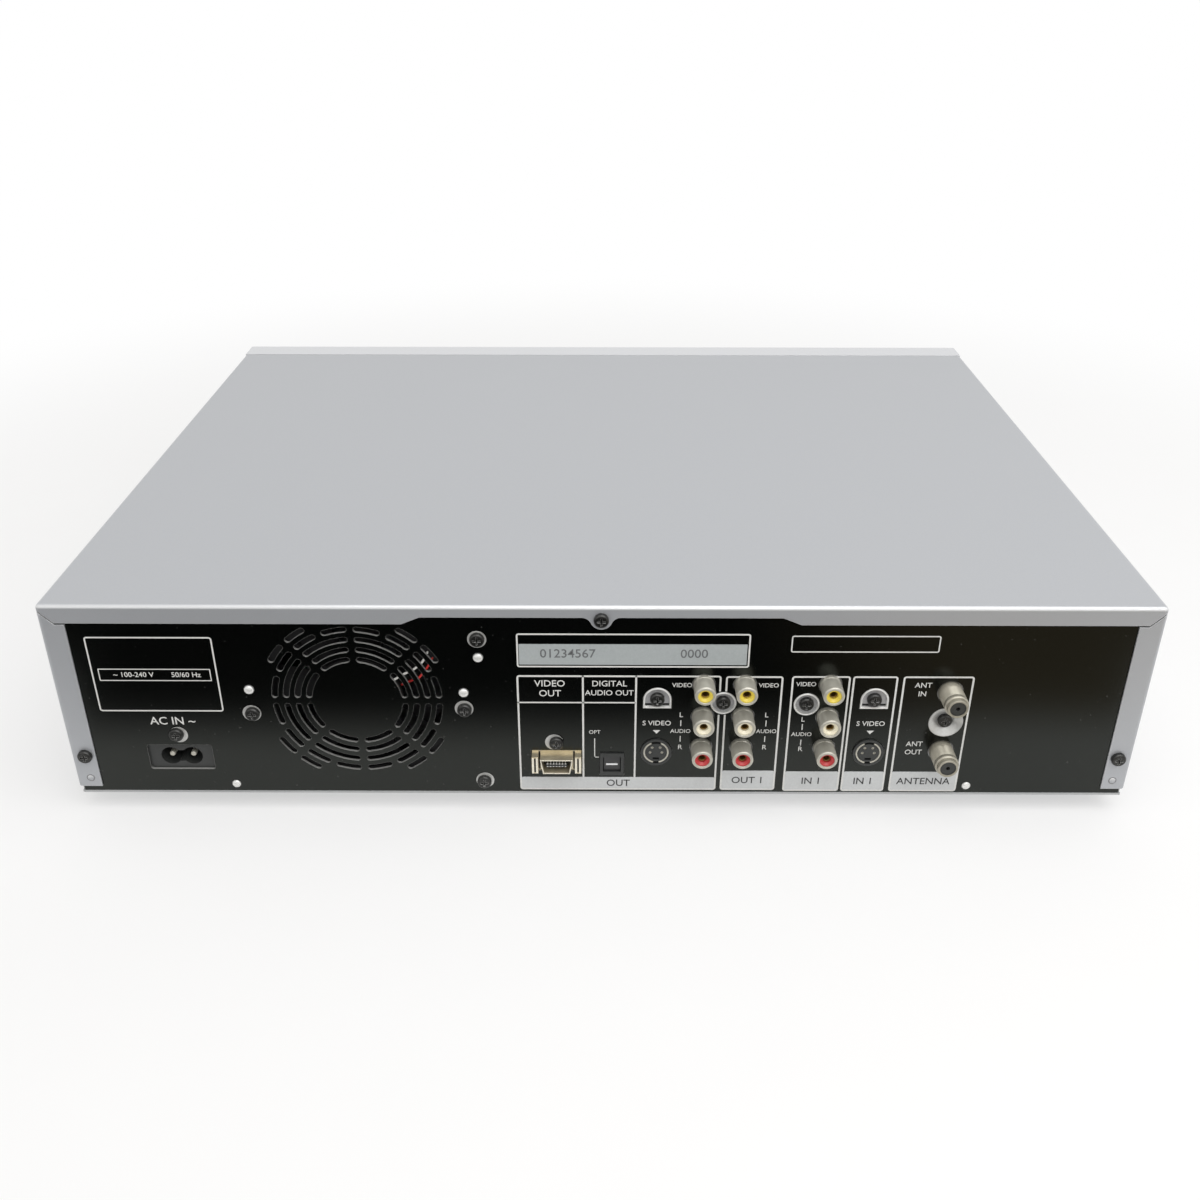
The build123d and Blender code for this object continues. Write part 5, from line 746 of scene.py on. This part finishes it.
def bowed(bm, profile, x, z, first, last, steps=24):
    """Part of a turned piece between two angles, with its ends closed."""
    turns = [math.radians(first + (last - first) * step / steps) for step in range(steps + 1)]
    rings = [[bm.verts.new((x + r * math.cos(t), y, z + r * math.sin(t))) for r, y in profile]
             for t in turns]
    for near, far in zip(rings, rings[1:]):
        walls(bm, near, far)
    bm.faces.new(rings[0])
    bm.faces.new(rings[-1])


SHIELD_OUTER, SHIELD_INNER = 5.2, 4.4
SHIELD_SEAT, SHIELD_ROUND = S_FACE - 4.9, S_FACE - 0.3
SHIELD_ARCS = ((-76, 66), (114, 256))
shield = [(SHIELD_INNER, SHIELD_SEAT), (SHIELD_OUTER, SHIELD_SEAT)]
shield += arc((SHIELD_OUTER + SHIELD_INNER) / 2, SHIELD_ROUND, (SHIELD_OUTER - SHIELD_INNER) / 2,
              0, 180, 6)
shield_work = bmesh.new()
for column in S_COLUMNS:
    for first, last in SHIELD_ARCS:
        bowed(shield_work, shield, column, S_ROW, first, last)
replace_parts(finished("s_video_shields", shield_work, nickel), "s_video_shells")


# Component video socket: a tapered shell folded from gold-flashed sheet, with a bright lip, a
# latch of two prongs on each side and two rows of contacts on the tongue inside.

gold = mottled("flash_gold", {"Metallic": 0.7}, ((0.52, 0.45, 0.31), (0.74, 0.67, 0.51)), 0.28,
               spread=0.15, size=1.5, detail=4.0, depth=0.015)
dress(gold, "d_terminal_shell")
lip_gold = metal("lip_gold", (0.80, 0.74, 0.60), (0.92, 0.88, 0.76), 0.4, 0.2)


def slab(bm, x, y, z):
    """Flat contact or rib with rounded ends, between limits in millimetres."""
    corner = min(x[1] - x[0], z[1] - z[0]) / 4
    film(bm, rounded(x, z, corner, 3), None, y[0], y[1] - y[0])


TONGUE_X, TONGUE_Z = 18.0, 25.0
TONGUE_SHEET, TONGUE_TIP = 1.3, PANEL_FACE + 3.2
BLADES, BLADE_PITCH, BLADE_HALF, BLADE_RISE, BLADE_PROUD = 7, 1.2, 0.3, 0.18, 0.08
blade_work = bmesh.new()
for turn in range(BLADES):
    middle = TONGUE_X + (turn - BLADES // 2) * BLADE_PITCH
    for side in (-1, 1):
        level = TONGUE_Z + side * TONGUE_SHEET / 2
        slab(blade_work, around(middle, BLADE_HALF), (PANEL_FACE, TONGUE_TIP + BLADE_PROUD),
             around(level, BLADE_RISE))
finished("d_terminal_contacts", blade_work, bright_steel)

MOUTH_TOP, MOUTH_FOOT, MOUTH_RISE = 6.6, 5.5, 3.4
LIP_WALL, LIP_FACE, LIP_SUNK, LIP_CREST = 0.5, PANEL_FACE + 4.5, 0.02, 0.2
LATCH_FACE, LATCH_REACH = PANEL_FACE + 3.4, 8.7
PRONG_OFFSET, PRONG_HALF, PRONG_RISE, PRONG_PROUD = 0.8, 0.42, 3.7, 0.4
# Reach from the middle, half width, limits on Y and half height of the black slabs on each side,
# painted shade in the gaps.
SHADE_GAPS = ((LATCH_REACH, 0.34, (LATCH_FACE, LATCH_FACE + 0.05), 3.4),
        (7.0, 0.32, (PANEL_FACE - 0.4, PANEL_FACE - 0.3), 4.4))


def d_mouth(inset):
    """Tapered outline of the component video socket, drawn in by its wall."""
    top, foot, half = MOUTH_TOP - inset, MOUTH_FOOT - inset, MOUTH_RISE - inset
    return [(TONGUE_X + across, TONGUE_Z + rise) for across, rise in
            ((-foot, -half), (foot, -half), (top, half), (-top, half))]


lip_work = bmesh.new()
beaded(lip_work, d_mouth, LIP_WALL, LIP_FACE - LIP_SUNK, LIP_FACE, LIP_CREST)
for side in (-1, 1):
    for offset in (-PRONG_OFFSET, PRONG_OFFSET):
        prong = TONGUE_X + side * LATCH_REACH + offset
        slab(lip_work, around(prong, PRONG_HALF), (LATCH_FACE, LATCH_FACE + PRONG_PROUD),
             around(TONGUE_Z, PRONG_RISE))
finished("d_terminal_lip", lip_work, lip_gold)
# Thin black slabs beside the latches: painted shade in the gaps round them.
shade_gap_work = bmesh.new()
for side in (-1, 1):
    for reach, half, y, rise in SHADE_GAPS:
        slab(shade_gap_work, around(TONGUE_X + side * reach, half), y, around(TONGUE_Z, rise))
finished("d_terminal_shade_gaps", shade_gap_work, fan_black)


# Optical shutter: a small sprung lid of dark plastic that hangs in the optical socket's mouth.
# A glossy rib is moulded across it and swings in with it; its near-white colour is a painted
# highlight.

dress(moulded("shutter_plastic", (0.030, 0.030, 0.031), (0.045, 0.045, 0.046), 0.26),
      "optical_shutter")
# Near-white rib colour: a painted highlight.
rib_highlight = inked("rib_highlight", (0.78, 0.79, 0.80), (0.88, 0.89, 0.90), 0.2)
RIB_HALF, RIB_TOP, RIB_FOOT, RIB_SUNK, RIB_PROUD = 2.4, 0.05, 0.75, 0.1, 0.22


def limits(node):
    """Lowest and highest corner of a CAD node at rest, in millimetres."""
    return [corner * 1000 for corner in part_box(node)]


shutter_low, shutter_high = limits("optical_shutter")
rib_middle = (shutter_low + shutter_high) / 2
highlight_rib_work = bmesh.new()
slab(highlight_rib_work, around(rib_middle.x, RIB_HALF),
     (shutter_high.y - RIB_SUNK, shutter_high.y + RIB_PROUD),
     (rib_middle.z - RIB_FOOT, rib_middle.z - RIB_TOP))
finished("shutter_highlight_rib", highlight_rib_work, rib_highlight, "shutter")


# Coloured phono inserts: gloss plastic, yellow for picture, white and red for sound.
# Each is pressed into its barrel round a brass cup, the contact.

insert_finish = {
    "yellow": moulded("yellow_insert", (0.76, 0.58, 0.06), (0.86, 0.70, 0.11), 0.24),
    "white": moulded("white_insert", (0.84, 0.78, 0.60), (0.93, 0.88, 0.71), 0.24),
    "red": moulded("red_insert", (0.46, 0.032, 0.036), (0.58, 0.052, 0.056), 0.24),
}
for colour, node in zip(insert_finish, ("video_inserts", "left_inserts", "right_inserts")):
    dress(insert_finish[colour], node)

CUP_RADIUS, CUP_BORE, CUP_PIP, CUP_SHEET, CUP_BEVEL = 1.62, 1.25, 0.05, 0.4, 0.15
CUP_FLOOR, CUP_MOUTH = JACK_MOUTH - 7.0, JACK_MOUTH - 2.4
contact_brass = metal("contact_brass", (0.20, 0.115, 0.025), (0.32, 0.20, 0.06), 0.6, 0.3)
cup = [(CUP_PIP, CUP_FLOOR), (CUP_RADIUS, CUP_FLOOR), (CUP_RADIUS, CUP_MOUTH),
       (CUP_BORE, CUP_MOUTH - CUP_BEVEL), (CUP_BORE, CUP_FLOOR + CUP_SHEET),
       (CUP_PIP, CUP_FLOOR + CUP_SHEET)]
cup_work = bmesh.new()
for column, row in JACKS:
    lathed(cup_work, cup, column, row, 24)
finished("phono_contacts", cup_work, contact_brass)


# Fan leads: two sleeved wires, red and white, that come out of the motor base and run
# behind the grille into the corner of the fan's frame.

def lead(name, points, radius, finish):
    """Wire through the given points, in millimetres, as a closed tube."""
    curve = bpy.data.curves.new(name, "CURVE")
    curve.dimensions = "3D"
    curve.bevel_depth = radius
    curve.bevel_resolution = 3
    curve.use_fill_caps = True
    run = curve.splines.new("NURBS")
    run.points.add(len(points) - 1)
    for point, place in zip(run.points, points):
        point.co = (*place, 1.0)
    run.use_endpoint_u = True
    run.order_u = 3
    bm = bmesh.new()
    meshed(bm, curve)
    bmesh.ops.remove_doubles(bm, verts=bm.verts, dist=0.001)
    finished(name, bm, finish)


FAN_MIDDLE = (96.4, 53.8)
STRUT_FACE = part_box("fan_frame")[1].y * 1000
LEAD_RADIUS = 0.47


def behind_grille(reach, turn, lift=LEAD_RADIUS):
    """Place behind the grille, at a reach from the fan's middle and a turn up from its right."""
    angle = math.radians(turn)
    return (FAN_MIDDLE[0] - reach * math.cos(angle), STRUT_FACE + lift,
            FAN_MIDDLE[1] + reach * math.sin(angle))


# Colours of each lead, and reach and turn of the places that it goes through.
LEAD_ROUTES = (("red", (0.62, 0.02, 0.02), (0.72, 0.04, 0.03),
                ((25.6, 20.4), (27.5, 22.5), (31, 26), (35, 30.5))),
               ("white", (0.80, 0.79, 0.76), (0.88, 0.87, 0.84),
                ((15, 29), (18, 31), (22, 31.5), (26.5, 30.6), (31, 32), (35, 35.5))))
MOTOR_EXIT = behind_grille(17, 16, -1.8)
RISE_DEPTH, CORNER_DEPTH = -1.6, -1.0
for colour, first, second, route in LEAD_ROUTES:
    (inner, first_turn), (outer, last_turn) = route[0], route[-1]
    places = [MOTOR_EXIT, behind_grille(inner - 2, first_turn - 1, RISE_DEPTH)]
    places += [behind_grille(reach, turn) for reach, turn in route]
    places += [behind_grille(outer + 2, last_turn + 2, CORNER_DEPTH)]
    lead("fan_lead_" + colour, places, LEAD_RADIUS, moulded("lead_" + colour, first, second, 0.35))


# Front: a moulded shell in silver lacquer, screwed to the pan, with a cassette flap, a drop-down
# jack door and the tray's trim in the same lacquer. The smoked window is snapped in.

lacquer = mottled("silver_lacquer", {"Coat Weight": 0.25, "Metallic": 0.45},
                  ((0.57, 0.58, 0.60), (0.68, 0.69, 0.71)), 0.30,
                  spread=0.1, size=0.35, detail=2.0, depth=0.002, ease=0.25)
dress(lacquer, "front_panel", "cassette_flap", "jack_door", "tray_bezel")
smoked = Finish("smoked_window", {"Coat Weight": 0.6})
smoked.shade({
    "Base Color": tint(smoked, grain(smoked, 30.0), (0.003, 0.003, 0.004), (0.007, 0.007, 0.009)),
    "Roughness": 0.06 + 0.05 * grain(smoked, 8.0),
    "Normal": softened(smoked, 0.3),
})
dress(smoked, "display_window")


# Keys, their words and the standby lens: darker mouldings on return springs, with words and signs
# in dark ink over them, a red record dot, and silver words on the window. The lens is a red dome,
# snapped in beside the power key's word.

key_lacquer = moulded("key_lacquer", (0.30, 0.305, 0.315), (0.36, 0.365, 0.375), 0.28)
FRONT_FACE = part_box("front_panel")[0].y * 1000
SIGN_INSET, SIGN_RISE, KEY_LETTER = 2.2, 2.2, 2.2
EJECT_SIGN = (((-1, -0.2), (1, -0.2), (0, 1)), ((-1, -1), (1, -1), (1, -0.55), (-1, -0.55)))
PLAY_SIGN = (((-0.8, -1), (1, 0), (-0.8, 1)),)
STOP_SIGN = (((-0.9, -0.9), (0.9, -0.9), (0.9, 0.9), (-0.9, 0.9)),)
KEYS = (("record", "REC", ()), ("play", "PLAY", PLAY_SIGN), ("stop", "STOP", STOP_SIGN),
        ("eject", "EJECT", EJECT_SIGN), ("tray", "OPEN/CLOSE", EJECT_SIGN), ("power", "POWER", ()))
sign_place = {}
key_words = bmesh.new()
for key, text, signs in KEYS:
    dress(key_lacquer, key + "_button")
    low, high = limits(key + "_button")
    words(key_words, text, (low.x + high.x) / 2, high.z + SIGN_RISE, KEY_LETTER, FRONT_FACE, -1)
    x, z = sign_place[key] = low.x + SIGN_INSET, high.z + SIGN_RISE
    for sign in signs:
        film(key_words, [(x + across, z + rise) for across, rise in sign], None,
             FRONT_FACE - PRINT_FILM)
finished("key_words", key_words, dark_ink)

DOT_RADIUS, LENS_RADIUS, LENS_PROUD = 0.95, 1.1, 0.55
red_ink = inked("red_ink", (0.50, 0.02, 0.02), (0.60, 0.04, 0.035), 0.4)
dot_work = bmesh.new()
film(dot_work, disc(*sign_place["record"], DOT_RADIUS), None, FRONT_FACE - PRINT_FILM)
finished("record_dot", dot_work, red_ink)
lens_red = moulded("lens_red", (0.22, 0.006, 0.006), (0.32, 0.010, 0.010), 0.08)
lens_work = bmesh.new()
dome(lens_work, *sign_place["power"], LENS_RADIUS, FRONT_FACE, -LENS_PROUD)
finished("standby_lens", lens_work, lens_red)

WORD_START, WORD_STEP, WORD_RISE, WINDOW_LETTER = 0.14, 0.24, 4.0, 2.0
low, high = limits("display_window")
window_words = bmesh.new()
for turn, text in enumerate(("DISC", "TAPE", "REC", "TIMER")):
    x = low.x + (high.x - low.x) * (WORD_START + WORD_STEP * turn)
    words(window_words, text, x, low.z + WORD_RISE, WINDOW_LETTER, low.y, -1)
finished("window_words", window_words, silver_ink)


# Lid words and door grip: a word in dark ink on each lid, and three ribs moulded on the jack
# door for a fingertip. They swing or slide with their lids.

LID_LETTER = 2.8
# Node and body of each lid, its word and how high on the lid this stands.
LIDS = (("cassette_flap", "flap", "CASSETTE", 0.16), ("jack_door", "door", "INPUT", 0.5),
        ("tray_bezel", "tray", "DISC", 0.28))
for node, body, text, share in LIDS:
    low, high = limits(node)
    lid_words = bmesh.new()
    words(lid_words, text, (low.x + high.x) / 2, low.z + share * (high.z - low.z), LID_LETTER,
          low.y, -1)
    finished(node + "_word", lid_words, dark_ink, body)

GRIP_RIBS, GRIP_PITCH, GRIP_DROP = 3, 1.5, 3.0
GRIP_REACH, GRIP_RIB, GRIP_CORNER, GRIP_PROUD = 9.0, 0.7, 0.3, 0.22
low, high = limits("jack_door")
grip_work = bmesh.new()
for turn in range(GRIP_RIBS):
    foot = high.z - GRIP_DROP - turn * GRIP_PITCH
    rib = rounded(around((low.x + high.x) / 2, GRIP_REACH), (foot, foot + GRIP_RIB), GRIP_CORNER, 3)
    film(grip_work, rib, None, low.y - GRIP_PROUD, GRIP_PROUD)
finished("door_grip", grip_work, lacquer, "door")


# Front jacks' inserts: the same coloured plastic as at the back, pressed into the three jacks
# in the pocket behind the door, with a word printed over each.

POCKET_PITCH, POCKET_RISE = 24.0, 8.4
INSERT_BORE, INSERT_MOUTH, INSERT_RADIUS = 1.65, 2.5, JACK_BORE - 0.02
jack_low, jack_high = limits("front_jacks")
insert_face, insert_back = jack_low.y + 0.6, jack_high.y - 0.1
pocket_row = (jack_low.z + jack_high.z) / 2
pocket_middle = (jack_low.x + jack_high.x) / 2
insert = [(INSERT_BORE, jack_low.y + 1.5), (INSERT_MOUTH, insert_face),
          (INSERT_RADIUS, insert_face), (INSERT_RADIUS, insert_back), (INSERT_BORE, insert_back)]
pocket_words = bmesh.new()
for turn, colour, text in ((-1, "yellow", "VIDEO"), (0, "white", "L"), (1, "red", "R")):
    column = pocket_middle + turn * POCKET_PITCH
    insert_work = bmesh.new()
    lathed(insert_work, insert, column, pocket_row)
    finished("front_insert_" + colour, insert_work, insert_finish[colour])
    words(pocket_words, text, column, pocket_row + POCKET_RISE, KEY_LETTER, jack_high.y, -1)
finished("pocket_words", pocket_words, dark_ink)


# Top cover: one folded sheet of steel in silver metallic paint, hooked under the front and
# held by three screws at the back. A dimple is pressed out near each lower corner, with a dark
# film ring round it as painted shade in its crease.

cover_paint = Finish("silver_metallic",
                     {"Metallic": 0.38, "Coat Weight": 0.12, "Coat Roughness": 0.12})
flakes = grain(cover_paint, 0.3, 2.0)
facing = cover_paint.node("ShaderNodeNewGeometry", output="Normal")
raised = cover_paint.node("ShaderNodeSeparateXYZ", {}, {0: facing}, output="Z").at_least(0.0)
# The top fold and all edges are painted lighter: a painted highlight where they would catch the
# lamp.
fold_highlight = 4 * raised * (1 - raised)
flakes_and_highlight = 0.2 * flakes + 0.8 * edge_mask(cover_paint, 0.4) + 0.7 * fold_highlight
cover_paint.shade({
    "Base Color": tint(cover_paint, flakes_and_highlight, (0.392, 0.406, 0.430), (0.78, 0.785, 0.79)),
    "Roughness": 0.34 + 0.1 * flakes + 0.04 * grain(cover_paint, 60.0) - 0.1 * fold_highlight,
    "Normal": relief(cover_paint, grain(cover_paint, 1.2), 0.005, 0.3),
})
dress(cover_paint, "top_cover")
# Dark film ring round each dimple: painted shade in the crease round it.
dimple_shade_ring = inked("dimple_shade_ring", (0.16, 0.16, 0.165), (0.24, 0.24, 0.245), 0.4)

DIMPLES = ((209.2, 16.2), (-209.2, 16.2))
DIMPLE_RADIUS, DIMPLE_RISE, SHADE_RING_RADIUS = 1.3, 0.35, 1.65
dimple_work = bmesh.new()
shade_ring_work = bmesh.new()
for x, z in DIMPLES:
    dome(dimple_work, x, z, DIMPLE_RADIUS, COVER_FACE, DIMPLE_RISE)
    film(shade_ring_work, disc(x, z, SHADE_RING_RADIUS), disc(x, z, DIMPLE_RADIUS), COVER_FACE)
finished("cover_dimples", dimple_work, cover_paint)
finished("dimple_shade_rings", shade_ring_work, dimple_shade_ring)


# Stage: a pale floor, a dark card on it behind the recorder for the gloss to show, a soft lamp
# overhead with a low fill, and the camera at the photograph's place.

def stage_plane(name, x, y, z, finish):
    """Level stage piece between limits on X and Y, in metres."""
    mesh = bpy.data.meshes.new(name)
    corners = [(x[0], y[0], z), (x[1], y[0], z), (x[1], y[1], z), (x[0], y[1], z)]
    mesh.from_pydata(corners, [], [(0, 1, 2, 3)])
    mesh.materials.append(finish.material)
    piece = put_in(name, mesh)
    return piece


def background_rays(finish):
    """1 on rays that show the background: from the camera, in gloss and through glass."""
    seen, gloss, glass = (finish.node("ShaderNodeLightPath", output=name) for name in
                          ("Is Camera Ray", "Is Glossy Ray", "Is Transmission Ray"))
    return seen.at_least(gloss.at_least(glass))


def eased_step(finish, value, first, last):
    """0 before the first value, 1 after the last and smooth between them."""
    return finish.node("ShaderNodeMapRange", {"interpolation_type": "SMOOTHSTEP"},
                       {0: value, 1: first, 2: last})


def put_out(finish, mask, first, second):
    """Mixes two shaders into the material's output."""
    mixed = finish.node("ShaderNodeMixShader", {}, {0: mask, 1: first, 2: second})
    finish.feed(finish.tree.nodes["Material Output"].inputs["Surface"], mixed)


FLOOR_REACH = (-6, 6)
BLEACH_START, BLEACH_END = 0.32, 0.75
floor_finish = Finish("pale_floor", {"Roughness": 0.9})
floor_finish.shade({
    "Base Color": tint(floor_finish, grain(floor_finish, 40.0), (0.86,) * 3, (0.88,) * 3)})
floor_place = floor_finish.node("ShaderNodeTexCoord", output="Object")
away = floor_finish.node("ShaderNodeVectorMath", {"operation": "LENGTH"}, {0: floor_place},
                         output="Value")
bleached = 0.5 + 0.5 * eased_step(floor_finish, away, BLEACH_START, BLEACH_END)
glow = floor_finish.node("ShaderNodeEmission", {}, {"Color": (1, 1, 1, 1), "Strength": 1.0})
put_out(floor_finish, bleached * background_rays(floor_finish),
        Value(floor_finish, floor_finish.shader.outputs[0]), glow)
stage_plane("floor", FLOOR_REACH, FLOOR_REACH, 0, floor_finish)

CARD_REACH, CARD_RISE, CARD_TAPER = 2, 0.001, 0.242
WARM_START, WARM_END = -0.07, -0.19
SIDE_START, SIDE_END = 0.507, 0.522
SIDE_SET_BACK, WARM_SET_BACK = 0.05, 0.01
rear_edge = cad_box[1].y - 0.012
FADE_START, FADE_END = rear_edge + 0.035, rear_edge + 0.080
card_finish = Finish("dark_card", {"Roughness": 1.0, "Specular IOR Level": 0.0})
card_place = card_finish.node("ShaderNodeTexCoord", output="Object")
card_x = card_finish.node("ShaderNodeSeparateXYZ", {}, {0: card_place}, output="X")
card_y = card_finish.node("ShaderNodeSeparateXYZ", {}, {0: card_place}, output="Y")
warm_end = 1 - eased_step(card_finish, card_x, WARM_END, WARM_START)
side_end = eased_step(card_finish, abs(card_x) / (card_y + CARD_TAPER), SIDE_START, SIDE_END)
set_back = SIDE_SET_BACK * side_end + WARM_SET_BACK * warm_end
card_finish.shade({
    "Base Color": (0, 0, 0, 1),
    "Emission Strength": 1.0,
    "Emission Color": tint(card_finish, warm_end, (0.0, 0.002, 0.004), (0.30, 0.24, 0.15)),
})
clear = card_finish.node("ShaderNodeBsdfTransparent")
put_out(card_finish, eased_step(card_finish, card_y - set_back, FADE_START, FADE_END), clear,
        Value(card_finish, card_finish.shader.outputs[0]))
card = stage_plane("dark_card", (-CARD_REACH, CARD_REACH), (rear_edge, CARD_REACH), CARD_RISE,
                   card_finish)
for ray in ("camera", "diffuse", "transmission", "shadow", "volume_scatter"):
    setattr(card, "visible_" + ray, False)

FILL = 0.6
sky = Finish("studio", {}, "worlds", "Background")
shown = background_rays(sky)
sky.shade({
    "Color": tint(sky, shown, (1.0, 0.98, 0.95), (1, 1, 1)),
    "Strength": FILL + (1 - FILL) * shown,
})
bpy.context.scene.world = sky.material

LAMP_PLACE, LAMP_AIM = Vector((-0.25, 0.45, 1.0)), Vector((0, 0, 0.05))
LAMP_SIDE, LAMP_POWER = 1.2, 9.5
light = bpy.data.lights.new("overhead", "AREA")
light.shape = "RECTANGLE"
light.size = light.size_y = LAMP_SIDE
light.energy = LAMP_POWER
lamp = put_in("overhead", light)
lamp.location = LAMP_PLACE
lamp.rotation_euler = (LAMP_AIM - LAMP_PLACE).to_track_quat("-Z", "Y").to_euler()

CAMERA_PLACE = (-0.0007, 0.56605, 0.3210)
CAMERA_RIGHT = (-0.999994, -0.003470, 0.000884)
CAMERA_UP = (0.002443, -0.480676, 0.876895)
CAMERA_BACK = (-0.002618, 0.876892, 0.480681)
SENSOR_WIDTH, FOCAL_LENGTH = 36.0, 36.633
lens = bpy.data.cameras.new("camera")
lens.sensor_width = SENSOR_WIDTH
lens.lens = FOCAL_LENGTH
camera = put_in("camera", lens)
axes = Matrix((CAMERA_RIGHT, CAMERA_UP, CAMERA_BACK)).transposed()
camera.matrix_world = Matrix.Translation(CAMERA_PLACE) @ axes.to_4x4()
bpy.context.scene.camera = camera
bpy.context.scene.view_settings.view_transform = "Standard"
